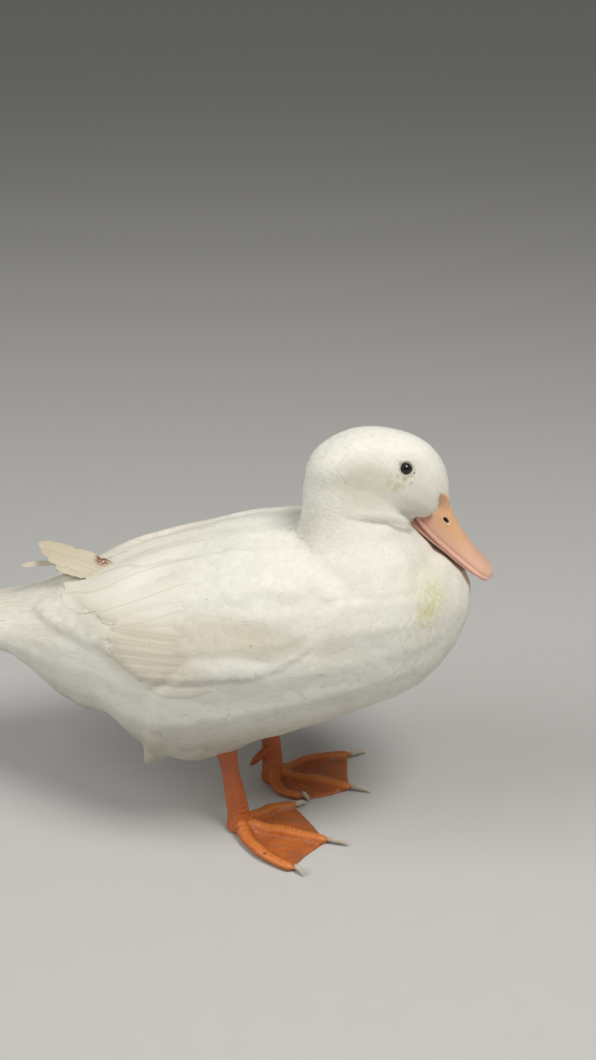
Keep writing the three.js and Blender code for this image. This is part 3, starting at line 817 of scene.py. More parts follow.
def build_skin():
    surface = Surface(FLESH, SKIN_VOXEL)
    face = smoothstep(surface.points[:, 2], 262, 285)
    surface.smooth(30, lerp(1.0, 0.5, face))
    x, _, z = surface.points.T
    wing_end = smoothstep(x, -172, -150) * (1 - smoothstep(x, -112, -92)) * smoothstep(z, 184, 192)
    surface.soften(40, wing_end)
    behind_bill = 1 - smoothstep(in_bill(surface.points)[:, 0], -40, -24)
    surface.soften(20, smoothstep(surface.points[:, 2], 225, 250) * behind_bill)
    tufts = np.linalg.norm(flank_tufts(surface.points), axis=1) / np.linalg.norm(TUFT_PULL)
    surface.soften(50, smoothstep(tufts, 0.02, 0.3))
    surface.make_finder()
    base = np.linalg.norm(in_bill(surface.points) - [-6, 0, 2], axis=1)
    sources = np.flatnonzero(base < 17)
    surface.distance = distance_over(surface, sources)
    surface.length = feather_length(surface.points, surface.distance)
    surface.flow = lie_of_coat(surface, surface.distance)
    surface.unwrap = axis_unwrap(surface.points)
    swell = relief(surface) + undulation(surface)
    for _ in range(2):
        swell = surface.around(swell)
    surface.outer = surface.points + surface.normals * swell[:, None] + flank_tufts(surface.points)
    return surface


# ---------------------------------------------------------------- feathers


def scatter(surface, chosen, spacing, rate=5.0):
    """Random places on the chosen vertices' faces, none nearer to another than the spacing there."""
    faces = surface.faces
    inside = chosen[faces].all(axis=1)
    area = surface.face_area * inside
    local = spacing[faces].mean(axis=1)
    weight = area / np.maximum(local, 0.5) ** 2
    count = int(weight.sum() * rate)
    pick = rng.choice(len(faces), count, p=weight / weight.sum())
    u, v = rng.random((2, count, 1))
    a, b, c, d = (surface.points[faces[pick, k]] for k in range(4))
    points = lerp(lerp(a, b, u), lerp(d, c, u), v)
    tree = search_tree(points)
    free = np.ones(count, bool)
    kept = []
    for i in range(count):
        if free[i]:
            kept.append(i)
            near = [j for _, j, _ in tree.find_range(points[i], local[pick[i]])]
            free[near] = False
    return points[kept]


def drape(surface, roots, length, tilt=None, steps=4, stray=0.0):
    """Lines over the surface from the roots, along its flow or at a tilt: points, normals and sides."""
    points, index = surface.drop(roots)
    swing = rng.normal(0, stray, (len(roots), 1))
    spines, normals, sides = [], [], []
    for step in range(steps + 1):
        if step:
            points, index = surface.drop(points + flow * (length / steps)[:, None])
        normal = surface.normals[index]
        flow = surface.flow[index] if tilt is None else tilted(normal, tilt)
        flow = unit(flow + swing * np.cross(normal, flow))
        spines.append(points)
        normals.append(normal)
        sides.append(unit(np.cross(normal, flow)))
    return np.stack(spines, 1), np.stack(normals, 1), np.stack(sides, 1)


def along_spine(values, share):
    """Values given at even steps of a spine, read at each share of it."""
    steps = values.shape[1] - 1
    place = np.clip(share, 0, 1) * steps
    i = np.minimum(place.astype(int), steps - 1)
    f = (place - i)[..., None]
    row = np.arange(len(values)).reshape(-1, *[1] * (share.ndim - 1))
    over = np.maximum(share - 1, 0)[..., None] * steps
    first, second = values[row, i], values[row, i + 1]
    return first + (second - first) * (f + over)


def vanes(
    surface, spines, half_width, rise, rows, columns,
    round_tip=0.4, ragged=0.03, cup=0.04, slope=0.6, droop=0.05, point=0.0, turn=0.16, end=0.2,
):
    """Feather vanes, one grid of points each: points, quads, place in the vane and soft normals.

    Each vane climbs out of the down and then lies almost level, hugging the body all over.
    """
    points, _, sides = spines
    count = len(points)
    across = np.linspace(-1, 1, columns)
    tip = 1 - round_tip * (1 - np.sqrt(1 - (0.98 * across) ** 2))
    tip = tip[None, :] * (1 - ragged * rng.random((count, columns)))
    share = (np.linspace(0, 1, rows) ** 0.85)[None, :, None] * tip[:, None, :]
    width = half_width[:, None, None] * (0.3 + 0.7 * smoothstep(share, 0.0, 0.45))
    width = width * (1 - point * smoothstep(share, 0.35, 1.0))
    climb = (1 - slope) * smoothstep(share, 0.0, 0.25) + slope * share
    height = rise[:, None, None] * (climb - droop * smoothstep(share, 0.8, 1.0))
    height = height - cup * width * across**2
    side = unit(along_spine(sides, share))
    at, index = surface.drop(along_spine(points, share) + side * (width * across)[..., None])
    up = surface.soft_normals[index]
    at = at + up * height[..., None]
    quads = grid_faces(rows, columns)[:, ::-1]
    quads = (quads[None] + (np.arange(count) * rows * columns)[:, None, None]).reshape(-1, 4)
    place = np.stack(np.broadcast_arrays(across, share, rng.random(count)[:, None, None]), -1)
    back = np.cross(side, up)
    lean = (turn * across * np.ones_like(share))[..., None] * side
    lean = lean + (end * smoothstep(share, 0.5, 1.0))[..., None] * back
    return at.reshape(-1, 3), quads, place.reshape(-1, 3), unit(up + lean).reshape(-1, 3)


BARE_SHRINK = {"bill": 0.3, "eye": 2.6}


def shrink_bare(surface):
    """Draws the skin in where the bill's base and the eyes have skins of their own over it."""
    local = in_bill(surface.points)
    share = BARE_SHRINK["bill"] * smoothstep(bill_bareness(local), 0.2, 3.5) * near_bill(local)
    middle = np.array([0.0, 0.0, 3.0])
    local[:, 1:] = lerp(local[:, 1:], middle[1:], share[:, None])
    surface.points = on_bill(*local.T)
    for side in SIDES.values():
        along, up, out = in_eye(surface.points, side).T
        distance = np.hypot(along, up)
        level = 0.1 - distance**2 / 56 - BARE_SHRINK["eye"] * (1 - smoothstep(distance, 3.6, 5.0))
        near = (distance < 8) & (np.abs(out) < 12)
        flat = np.where(near, lerp(level, out, smoothstep(distance, 6.6, 8)), out)
        surface.points = np.where(near[:, None], on_eye(side, along, up, flat), surface.points)


def sink_skin(surface):
    """Moves the skin in by the coat's depth, after which feathers root on it."""
    depth = coat_depth(surface.length)[:, None]
    for _ in range(6):
        depth = surface.around(depth)
    surface.depth = depth[:, 0]
    surface.points = surface.outer - surface.normals * depth
    surface.make_caster()
    shrink_bare(surface)
    surface.find_normals()
    surface.soft_normals = surface.normals
    for _ in range(3):
        surface.soft_normals = unit(surface.around(surface.soft_normals))
    surface.make_finder()


def underdown(surface):
    """The skin as shown: raised into the roots of the coat, so no deep gap is left between feathers."""
    share = lerp(UNDERDOWN["short"], UNDERDOWN["long"], smoothstep(surface.length, 8, 20))
    return surface.points + surface.normals * (surface.depth * share)[:, None]


# Outlines of the tracts on the duck's right side, as places on the body; the left side mirrors them.
SCAPULAR_EDGE = [
    (-11, -57, 241), (-8, -65, 235), (-5, -75, 227), (4, -79, 224), (13, -80, 225), (24, -78, 228),
    (33, -78, 230), (43, -78, 231), (54, -79, 230), (63, -78, 232), (72, -76, 234),
]
NECK_EDGE = [(110, -68, 233), (103, -65, 240), (91, -58, 250), (75, -48, 259), (61, -36, 262), (48, -8, 262)]
WING_LOWER_EDGE = [
    (-52, -88, 155), (-38, -92, 170), (-26, -93, 182), (-11, -93, 190), (8, -94, 192), (27, -94, 191),
    (51, -93, 192), (66, -91, 201), (74, -86, 218), (82, -77, 233),
]
TERTIAL_EDGE = [(-144, -24, 220), (-136, -36, 210), (-112, -57, 201), (-95, -67, 197), (-82, -73, 197)]
FAN_EDGE = [
    (-85, -76, 190), (-83, -79, 180), (-74, -83, 171), (-66, -83, 163), (-58, -86, 157), (-52, -88, 154),
]
LOBE_EDGE = [
    (-52, -89, 153), (-64, -85, 159), (-75, -81, 168), (-90, -75, 176), (-111, -66, 175), (-135, -52, 178),
    (-150, -44, 181), (-162, -34, 186),
]
FLANK_REAR = [(-52, -89, 154), (-55, -86, 136), (-61, -80, 116), (-66, -70, 96), (-72, -50, 72), (-72, 0, 66)]
SHIELD = SCAPULAR_EDGE + NECK_EDGE + [(30, -4, 258), (0, -4, 253), (-24, -8, 248)]
WING = TERTIAL_EDGE + FAN_EDGE + WING_LOWER_EDGE
WING += [(60, -60, 250), (20, -50, 250), (-30, -10, 248), (-140, -4, 222)]
FRONT = FLANK_REAR[::-1] + WING_LOWER_EDGE + NECK_EDGE + [(190, 0, 262), (190, 0, 60)]
LOBE = LOBE_EDGE + TERTIAL_EDGE + FAN_EDGE


def tuft_uv(surface, index, place, per_feather, size=0.003):
    """Each feather's patch of the unwrap: a small square at its root's place."""
    middle = np.repeat(surface.unwrap[index], per_feather, axis=0)
    return np.clip(middle + size * 0.5 * np.stack([place[:, 0], 2 * place[:, 1] - 1], -1), 0, 1)


def coat_piece(
    name, surface, roots, material, grid,
    width=0.34, stretch=1.0, tilt=None, keep=None, over=0.0, stray=0.0, **shape,
):
    """A tract of feathers. keep tests where the tips end, over lifts it, and stray turns each at random."""
    columns, rows = grid
    index = surface.nearest(roots)
    length = stretch * surface.length[index] * (0.88 + 0.24 * rng.random(len(roots)))
    lean = None if tilt is None else np.full(len(roots), float(tilt)) + rng.normal(0, 4, len(roots))
    spines = drape(surface, roots, length, lean, stray=stray)
    if keep is not None:
        kept = keep(spines[0][:, -1], spines[0][:, 2], width * length)
        spines = tuple(part[kept] for part in spines)
        index, length = index[kept], length[kept]
    rise = surface.depth[index] + over + 0.03 * rng.normal(0, 1, len(index)) * smoothstep(length, 4, 16)
    points, faces, place, soft = vanes(surface, spines, width * length, rise, rows, columns, **shape)
    uv = tuft_uv(surface, index, place, rows * columns)
    return new_piece(name, points, faces, material, (), {"vane": place}, uv, soft)


def near_bill(local):
    """Whether each place is on the head where the bill's base lies."""
    return (np.abs(local[:, 1]) < 18) & (np.abs(local[:, 2] - 6) < 19) & (local[:, 0] < 6)


def bill_bareness(local):
    """Millimetres by which a place in the bill's frame lies inside the bare skin of the bill's base."""
    along, side, up = np.moveaxis(local, -1, 0)
    cheek = along - np.interp(up, *CHEEK_EDGE)
    forehead = np.abs(side) - np.interp(along, *FOREHEAD_WEDGE)
    return np.where(up > 6, np.minimum(cheek, forehead), cheek)


def eye_axes(side):
    """The eye's place on one side of the head, and its axes ahead, up and out, in the head's frame."""
    mirror = np.array([1, side, 1])
    ahead, out = np.array([1.0, 0, 0]), EYE_OUT * mirror
    up = np.cross(ahead, out) * side
    return EYE_SEAT * mirror, ahead, up, out


def on_eye(side, along, up, out):
    """Design points from distances along the eye's axes."""
    seat, *axes = eye_axes(side)
    local = seat + sum(np.asarray(d, float)[..., None] * axis for d, axis in zip((along, up, out), axes))
    return on_head(*np.moveaxis(local, -1, 0))


def in_eye(points, side):
    seat, *axes = eye_axes(side)
    return np.stack([(in_head(points) - seat) @ axis for axis in axes], -1)


def eye_distance(points):
    """How far each point is from the nearer eye's axis."""
    nearest = np.full(points.shape[:-1], 99.0)
    for side in SIDES.values():
        along, up, out = np.moveaxis(in_eye(points, side), -1, 0)
        nearest = np.where(np.abs(out) < 12, np.minimum(nearest, np.hypot(along, up)), nearest)
    return nearest


def relief(surface):
    """How far the plumage stands out where one tract overlaps the next, in millimetres."""
    at = surface.points
    x, _, z = at.T

    def ridge(inside, height, width, deep):
        """A rounded edge to a tract, which sinks back to the coat's level further in."""
        return height * (smoothstep(inside, -1, width) * np.exp(-np.maximum(inside, 0) / deep))

    def scalloped(inside, pitch, depth):
        """The edge's distance, drawn in between one feather's tip and the next."""
        return inside - depth * (1 - np.abs(np.sin(np.pi * x / pitch)))

    low = 1 - smoothstep(z, 250, 265)
    shield = edge_distance(at, SHIELD, len(SCAPULAR_EDGE))
    wing = edge_distance(at, WING, len(TERTIAL_EDGE + FAN_EDGE))
    lobe = edge_distance(at, LOBE, len(LOBE_EDGE))
    front = edge_distance(at, FRONT, len(FLANK_REAR + WING_LOWER_EDGE))
    height = ridge(scalloped(shield, 34, 3.0), *SHIELD_RIDGE) * low * (0.25 + 0.75 * smoothstep(x, -15, 30))
    height = height + ridge(wing, *WING_RIDGE)
    height = height + ridge(lobe, *LOBE_RIDGE)
    height = height + ridge(scalloped(front, 38, 4.0), *FRONT_RIDGE) * low
    above, near = jaw_distance(at)
    cheek = JAW_BULGE[0] * bell(above, *JAW_BULGE[1:]) - JAW_FURROW[0] * bell(above, *JAW_FURROW[1:])
    return height + cheek * near + leg_cuffs(at) + cheek_fill(at)


def cheek_fill(points):
    fill = np.zeros(len(points))
    for side in SIDES.values():
        along, up, out = in_eye(points, side).T
        ahead, above = CHEEK_FILL["place"]
        away = np.hypot((along - ahead) / CHEEK_FILL["radii"][0], (up - above) / CHEEK_FILL["radii"][1])
        fill = fill + CHEEK_FILL["height"] * bell(away, 0, 1) * (np.abs(out + 10) < 22)
    return fill


def leg_cuffs(points):
    cuffs = np.zeros(len(points))
    for leg in LEGS.values():
        x, y, _ = leg["hock"]
        away = np.hypot(points[:, 0] - x, points[:, 1] - y)
        cuffs = cuffs + CUFF["height"] * bell(away, 0, CUFF["radius"])
    return cuffs * (1 - smoothstep(points[:, 2], CUFF["from"], CUFF["to"]))


def flank_tufts(points):
    """How far to draw the skin out into the tuft behind each leg."""
    pull = np.zeros(points.shape)
    for tip in TUFT.values():
        away = np.linalg.norm((points - tip) * [1, 0.6, 1], axis=1)
        pull = pull + bell(away, 0, TUFT_RADIUS)[:, None] * TUFT_PULL
    return pull


def jaw_distance(points):
    """How far above the fold under the cheek each point is, and its share of the fold's run, 0 to 1."""
    line = in_head(even_line(JAW_FOLD, 60)) * [1, -1, 1]
    local = in_head(points)
    local[:, 1] = np.abs(local[:, 1])
    gap = local[:, None] - line
    away = np.linalg.norm(gap, axis=2)
    i = away.argmin(axis=1)
    offset = gap[np.arange(len(points)), i]
    lift = offset[:, 2] * math.cos(HEAD_PITCH) - offset[:, 0] * math.sin(HEAD_PITCH)
    above = np.where(lift < 0, -1, 1) * away[np.arange(len(points)), i]
    fade = smoothstep(i, 0, 4) * (1 - smoothstep(i, 34, 59))
    return above, fade


def undulation(surface):
    """Soft swells of the plumage, longer along the body than across it."""
    (size, height), ((ahead, across, up), fine_height) = SWELLS
    swell = noise_field(surface.points, size)
    fine = np.array([noise.noise((x / ahead + FINE_SHIFT, y / across, z / up)) for x, y, z in surface.points])
    body = smoothstep(surface.distance, 50, 120)
    smooth = 1 - 0.5 * smoothstep(surface.points[:, 2], 185, 215)
    return body * smooth * (height * swell + fine_height * fine)


# The shapes of the feathers and tufts, as coat_piece and vanes take them.
BODY_FEATHER = {"turn": 0.08, "end": 0.1, "slope": 0.4, "round_tip": 0.55, "droop": 0.12}
HEAD_TUFT = {"ragged": 0.15, "cup": 0.1, "stray": 0.1, "slope": 0.5}
NECK_TUFT = {**HEAD_TUFT, "width": 0.24, "point": 0.8, "round_tip": 0.25, "turn": 0.1, "droop": 0.4}
FACE_TUFT = {**HEAD_TUFT, "width": 0.22, "point": 0.85, "round_tip": 0.2, "turn": 0.08, "droop": 0.45}
LOOSE_TUFT = {
    "width": 0.13, "point": 0.85, "round_tip": 0.2, "cup": 0.1, "stray": 0.4, "slope": 1.2, "turn": 0.1,
    "over": 0.45, "stretch": 0.8,
}
DOWN_TUFT = {
    "width": 0.035, "point": 0.9, "round_tip": 0.2, "cup": 0.2, "stray": 0.12, "slope": 0.9, "turn": 0.3,
    "over": 0.12,
}
NAPE_SPACING = 2.7


def grow_coat(surface, material):
    """The contour feathers, tract by tract."""
    bill = in_bill(surface.points)
    covered = (np.hypot(bill[:, 1] / 13.2, (bill[:, 2] - 1) / 14) < 1) & (np.abs(bill[:, 0] + 5) < 10)
    bare = covered | (near_bill(bill) & (bill_bareness(bill) > 0.1))
    bare = bare | (eye_distance(surface.points) < EYE["bare"])
    front = edge_distance(surface.points, FRONT)
    shield = edge_distance(surface.points, SHIELD)
    wing = edge_distance(surface.points, WING)
    lobe = edge_distance(surface.points, LOBE)
    high = surface.points[:, 2]
    is_front = (front > -2) | (high > 262)
    spacing = surface.length * 0.24 + 0.3

    def within(outline, margin=0.1):
        return lambda tip, middle, half: edge_distance(tip, outline) > half * margin

    rear = (front < 30) & (surface.points[:, 2] < 262) & (shield < 20) & (wing < 20) & (lobe < 12)
    half = surface.points[:, 1] < 0
    for name, part in (("rear_right", half), ("rear_left", ~half)):
        roots = scatter(surface, rear & grown(surface, part) & (surface.points[:, 0] > -228), spacing)
        roots = roots[(roots[:, 1] < 0) == name.endswith("right")]
        coat_piece(f"coat_{name}", surface, roots, material, (11, 7), **BODY_FEATHER)

    roots = scatter(surface, lobe > -25, spacing)
    coat_piece("coat_lobe", surface, roots, material, (11, 7), keep=within(LOBE), tilt=8)

    roots = scatter(surface, (wing > -25) & (front < 25), spacing * 0.9)
    coat_piece("coat_wing", surface, roots, material, (11, 7), stretch=1.1, keep=within(WING), tilt=8)

    roots = scatter(surface, (shield > -30), spacing * 1.05)
    coat_piece("coat_shield", surface, roots, material, (13, 8), stretch=1.3, keep=within(SHIELD), tilt=14)

    def front_keep(tip, middle, half):
        return (edge_distance(tip, FRONT) > half * 0.1) | (middle[..., 2] > 262)

    trunk = is_front & (surface.distance > 105)
    neck = is_front & (surface.distance <= 120) & (surface.distance > 55)
    face = is_front & (surface.distance <= 62)
    for name, part, spread, grid, shape in (
        ("breast_right", trunk & half, 1.0, (11, 7), BODY_FEATHER),
        ("breast_left", trunk & ~half, 1.0, (11, 7), BODY_FEATHER),
        ("neck_right", neck & half, 0.8, (5, 5), NECK_TUFT),
        ("neck_left", neck & ~half, 0.8, (5, 5), NECK_TUFT),
        ("face_right", face & half, 0.8, (3, 4), FACE_TUFT),
        ("face_left", face & ~half, 0.8, (3, 4), FACE_TUFT),
    ):
        roots = scatter(surface, grown(surface, part) & ~bare, spacing * spread)
        roots = roots[(roots[:, 1] < 0) == name.endswith("right")]
        coat_piece(f"coat_{name}", surface, roots, material, grid, keep=front_keep, **shape)

    nape = (surface.normals[:, 0] < -0.6) & (surface.points[:, 2] > 266) & (surface.distance > 50)
    roots = scatter(surface, nape, NAPE_SPACING + 0 * surface.length)
    coat_piece("coat_nape", surface, roots, material, (5, 6), **LOOSE_TUFT)

    body = (surface.distance > 60) & (surface.points[:, 0] > -225)
    for name, part in (("down_right", body & half), ("down_left", body & ~half)):
        roots = scatter(surface, part, 0.6 * np.sqrt(surface.length) + 1.2)
        coat_piece(f"coat_{name}", surface, roots, material, (3, 6), **DOWN_TUFT)


def grown(surface, chosen):
    """The chosen vertices and their neighbours."""
    return surface.around(chosen.astype(float)) > 0


# ---------------------------------------------------------------- flight feathers

# Places across a long feather's vane.
RACHIS_COLUMNS = np.array([-1, -0.8, -0.58, -0.36, -0.18, -0.06, 0, 0.06, 0.18, 0.36, 0.58, 0.8, 1])
QUILL_ROWS = 30
VANE = {"camber": 0.09, "thickness": 0.16, "lean": 0.22}
SHAFT = {"height": 0.42, "half_width": 0.7}
# Splits in a worn vane's edge: how many for its wear, how wide along it and how deep.
NOTCH = {"count": 40, "width": 0.012, "depth": 0.35}


def even_line(controls, count):
    """A smooth line through control points, at even shares of its length."""
    line = table(controls, np.linspace(0, 1, 200))
    run = run_along(line)
    return np.stack([np.interp(np.linspace(0, run[-1], count), run, line[:, k]) for k in range(3)], -1)


def quill_width(share, root=0.35, tip=0.82, sharp=2.0):
    """The half width of a long feather's vane as a share of its greatest."""
    rise = root + (1 - root) * smoothstep(share, 0, 0.3)
    end = np.clip((share - tip) / (1 - tip), 0, 1)
    return rise * (1 - end**sharp) ** (1 / 2.0)


def quills(name, feathers, material, replaced=(), surface=None):
    """Long feathers as thin closed vanes with a shaft.

    Each is (line, normals, half width, tip's share, wear, level): with a surface the vane hugs it,
    and level is how high above it the vane lies along its length.
    """
    columns = len(RACHIS_COLUMNS)
    share = np.linspace(0, 1, QUILL_ROWS) ** 0.9
    across = np.broadcast_to(RACHIS_COLUMNS, (QUILL_ROWS, columns))
    edge = np.abs(across) ** 3
    points, faces, place, uv, soft = [], [], [], [], []
    for number, (line, normals, half, tip, wear, level) in enumerate(feathers):
        line = even_line(line, QUILL_ROWS)
        normals = unit(table(normals, np.linspace(0, 1, QUILL_ROWS)))
        side = unit(np.cross(normals, unit(np.gradient(line, axis=0))))
        fray = 0.3 + smoothstep(share, 0.6, 1)[:, None]
        frayed = 1 - wear * edge * rng.random((QUILL_ROWS, columns)) * fray
        for _ in range(int(NOTCH["count"] * wear)):
            where, at_side = rng.random() * 0.7 + 0.25, rng.choice([-1, 1])
            notch = bell(share, where, NOTCH["width"])[:, None] * (across * at_side > 0.5)
            frayed = frayed * (1 - NOTCH["depth"] * notch * np.abs(across))
        offset = (half * quill_width(share, tip=tip))[:, None] * across * frayed
        flat = line[:, None] + side[:, None] * offset[..., None]
        up = np.broadcast_to(normals[:, None], flat.shape)
        if surface is not None:
            flat, index = surface.drop(flat)
            up = surface.soft_normals[index]
            flat = flat + up * np.interp(share, np.linspace(0, 1, len(level)), level)[:, None, None]
        camber = -VANE["camber"] * half * across**2
        shaft = SHAFT["height"] * bell(across * half, 0, SHAFT["half_width"]) * (1 - 0.75 * share[:, None])
        thick = VANE["thickness"] * (1 - edge * 0.8)
        top = flat + up * (camber + shaft + thick)[..., None]
        low = flat + up * (camber - 0.5 * shaft - thick)[..., None]
        start = sum(len(p) for p in points)
        points.append(np.concatenate([top, low[:, ::-1]], 1).reshape(-1, 3))
        faces.append(grid_faces(QUILL_ROWS, 2 * columns, closed=True)[:, ::-1] + start)
        lean = VANE["lean"] * across[..., None] * side[:, None]
        soft.append(unit(np.concatenate([up + lean, (lean - up)[:, ::-1]], 1)).reshape(-1, 3))
        both = np.concatenate([across, across[:, ::-1]], 1)
        along = np.broadcast_to(share[:, None], both.shape)
        place.append(np.stack([both, along, np.full(both.shape, rng.random())], -1).reshape(-1, 3))
        middle = np.array([0.06 + 0.88 * (number + 0.5) / len(feathers), 0.5])
        uv.append(middle + np.stack([both * 0.4 / len(feathers), (along - 0.5) * 0.9], -1).reshape(-1, 2))
    points, faces, place, uv, soft = (np.concatenate(p) for p in (points, faces, place, uv, soft))
    return new_piece(name, points, faces, material, replaced, {"vane": place}, uv, soft)


def laid(surface, controls, rise, sag=0.0, steps=9):
    """A line laid over the coat through its controls, the normals along it and its level over the skin."""
    share = np.linspace(0, 1, steps)
    line = even_line(np.asarray(controls, float), steps)
    line[:, 2] -= sag * 4 * share * (1 - share)
    line, index = surface.drop(line)
    level = surface.depth[index] + np.interp(share, np.linspace(0, 1, len(rise)), rise)
    return line, surface.soft_normals[index], level


def mirrored(points, side):
    return np.asarray(points, float) * [1, -side, 1]


# Secondaries: tips along the wing's rear edge, upper to lower.
SECONDARY_TIPS = [
    (-83, -74, 197), (-86, -77, 190), (-85, -79, 183), (-81, -81, 177), (-75, -83, 171), (-68, -85, 166),
    (-60, -87, 161), (-51, -89, 157),
]
SECONDARY_LENGTH = 72
# Tertials: root, tip, half width, lower to upper.
TERTIALS = [
    ([(-20, -74, 218), (-56, -79, 206), (-82, -76, 197)], 10, 0.8),
    ([(-20, -60, 236), (-62, -66, 218), (-98, -65, 202)], 13, 0.8),
    ([(-20, -34, 248), (-68, -43, 233), (-104, -48, 213), (-142, -33, 208)], 17, 0.74),
    ([(-12, -13, 253), (-66, -16, 240), (-106, -25, 225), (-148, -22, 217)], 17, 0.7),
]


def grow_wing(surface, side, name, material):
    """The secondaries, fanned below, and the broad tertials that close over them."""
    feathers = []
    for i, tip in reversed(list(enumerate(SECONDARY_TIPS))):
        level = 0.4 + 0.08 * (len(SECONDARY_TIPS) - i)
        root = np.array(tip) + [SECONDARY_LENGTH - 2.2 * i, -14, 5]
        rise = [-1.4, -0.3, 0.5 * level, level, level]
        line, normals, level = laid(surface, mirrored([root, tip], side), rise, 1.0)
        feathers.append((line, normals, 7.0, 0.8, 0.05, level))
    for i, (line, half, tip) in enumerate(TERTIALS):
        level = 0.7 + 0.35 * i + (0.5 if side < 0 else 0)
        rise = [-1.6, 0.2, 0.6 * level, 0.9 * level, 0.8 * level]
        line, normals, level = laid(surface, mirrored(line, side), rise, -1.0)
        feathers.append((line, normals, half, tip, 0.03, level))
    quills(f"wing_feathers_{name}", feathers, material, surface=surface)


# Primaries: control points of each shaft, half width and the wear of its edge.
PRIMARIES = {
    "right": [
        ([(-84, -22, 212), (-118, -8, 220), (-146, -1, 223.5), (-167, 3, 226)], 6.4, 0.16),
        ([(-84, -25, 211), (-118, -13, 219), (-143, -6, 222), (-163, -3, 224)], 6.4, 0.16),
        ([(-84, -27, 210), (-116, -18, 217.6), (-140, -11, 220), (-156, -8, 221.5)], 6.2, 0.14),
        ([(-84, -29, 209), (-113, -23, 216), (-133, -17, 217.5), (-147, -14, 218.5)], 6.0, 0.12),
    ],
    "left": [
        ([(-112, 16, 206), (-140, 7, 208.4), (-163, 1, 209), (-181, -3, 207)], 2.4, 0.1),
        ([(-84, 24, 208), (-112, 13, 207.5), (-134, 5, 206), (-152, 0, 205)], 6.2, 0.1),
        ([(-84, 28, 207), (-110, 19, 206), (-130, 12, 204.5), (-146, 7, 203)], 6.2, 0.1),
        ([(-84, 32, 206), (-106, 25, 204.5), (-124, 19, 203), (-138, 15, 201)], 6.0, 0.1),
    ],
}
PRIMARY_LEAN, LONE_LEAN = math.radians(24), math.radians(-50)


def grow_primaries(name, material):
    side = SIDES[name]
    feathers = []
    for i, (line, half, wear) in enumerate(PRIMARIES[name]):
        line = np.array(line, float) + [0, 0, -0.9 * i]
        lean = LONE_LEAN if half < 4 else PRIMARY_LEAN * side
        normal = (0, math.sin(lean), math.cos(lean))
        feathers.append((line, [normal] * 4, half, 0.86, wear, None))
    quills(f"primaries_{name}", feathers, material, [f"wing_primaries_{name}"])


TAIL = {
    "root": -196, "length": 70, "half_width": 42, "pairs": 7, "level": 159, "lift": 4.0, "crown": 7.0,
    "rounding": 17.0, "vane": 8.0, "point": 0.62,
}
# Rows of tail coverts: side, root, bend and tip along the body, the tips' height, the row's crown, half
# width of a feather, count and spread.
COVERTS = [
    (1, -208, -226, -249, 162.8, 9.5, 9.5, 9, 0.92),
    (1, -192, -212, -236, 166.0, 8.5, 9.5, 8, 0.9),
    (1, -178, -199, -222, 170.5, 8.0, 9.5, 9, 0.9),
    (-1, -190, -216, -246, 157.5, 6.5, 9, 6, 0.45),
    (-1, -176, -204, -232, 152.5, 5.0, 9, 4, 0.35),
]


def tail_feathers():
    """The fan: the middle pair lies on top and the outer ones tuck beneath."""
    for pair in reversed(range(TAIL["pairs"])):
        share = (pair + 0.5) / TAIL["pairs"]
        for side in (-1, 1):
            root = np.array([TAIL["root"], side * 11 * share, TAIL["level"] - 2 * share])
            out = side * TAIL["half_width"] * share * 0.94
            tip = np.array([TAIL["root"] - TAIL["length"] + TAIL["rounding"] * share**2, out, 0])
            tip[2] = TAIL["level"] + TAIL["lift"] - TAIL["crown"] * share**2
            lower = np.array([0, 0, -0.42 * pair - (0.21 if side > 0 else 0)])
            middle = lerp(root, tip, 0.5) + [0, side * 3 * share, -1.0]
            normal = unit(np.array([0.05, 0.32 * side * share, 1.0]))
            yield np.stack([root, middle, tip]) + lower, [normal] * 3, TAIL["vane"], TAIL["point"], 0.03, None


def tail_coverts(surface):
    """Coverts that root on the rump and close over the base of the fan, above and below."""
    for side, root, bend, end, height, crown, half, count, spread in COVERTS:
        for across in sorted(np.linspace(-1, 1, count) * spread, key=abs, reverse=True):
            start = np.array([root, across * 30, 157 + side * 30])
            turn = np.array([bend, across * 31, 157 + side * 26])
            on_body, index = surface.drop(np.stack([start, turn]))
            normals = surface.soft_normals[index]
            on_body = on_body + normals * (surface.depth[index] + [-1.6, 0.3])[:, None]
            tip = np.array([end + 10 * across**2, across * 35, height - crown * across**2])
            middle = lerp(on_body[1], tip, 0.5) + [0, 0, side * 1.4]
            up = unit(np.array([-0.1, 0.3 * across, side]))
            line = np.stack([*on_body, middle, tip])
            yield line, [*normals, unit(lerp(normals[1], up, 0.5)), up], half, 0.6, 0.05, None


def grow_tail(surface, material):
    feathers = [*tail_feathers(), *tail_coverts(surface)]
    quills("tail_feathers", feathers, material, ["tail"])


# ---------------------------------------------------------------- bill

# Sections of each mandible, in the bill's frame: place along it, top, edge and half width.
UPPER_BILL = [
    (-22, 8, 8, 0), (-21, 15, -5, 10), (-14, 16.4, -7.4, 12.6), (-7, 17.6, -8.6, 14.2),
    (4, 14.8, -9, 14.4), (17, 11.2, -8.4, 13.6), (31, 9, -6.6, 13.8), (45, 8.4, -4, 15.4),
    (57, 8.6, -1.4, 16.6), (64.5, 7.8, 0.6, 14.2), (68.6, 6.2, 2, 8), (69.8, 3.9, 3.9, 0),
]
LOWER_BILL = [
    (-13, -12, -12, 0), (-12, -9.6, -14.6, 9.5), (-2, -9.2, -13.4, 12.8), (12, -8.4, -11.4, 13.0),
    (28, -6.2, -8.6, 12.6), (43, -3.8, -6, 13.4), (55, -1.8, -3.4, 13), (60, -0.8, -2, 8.4),
    (61.4, -1.2, -1.2, 0),
]
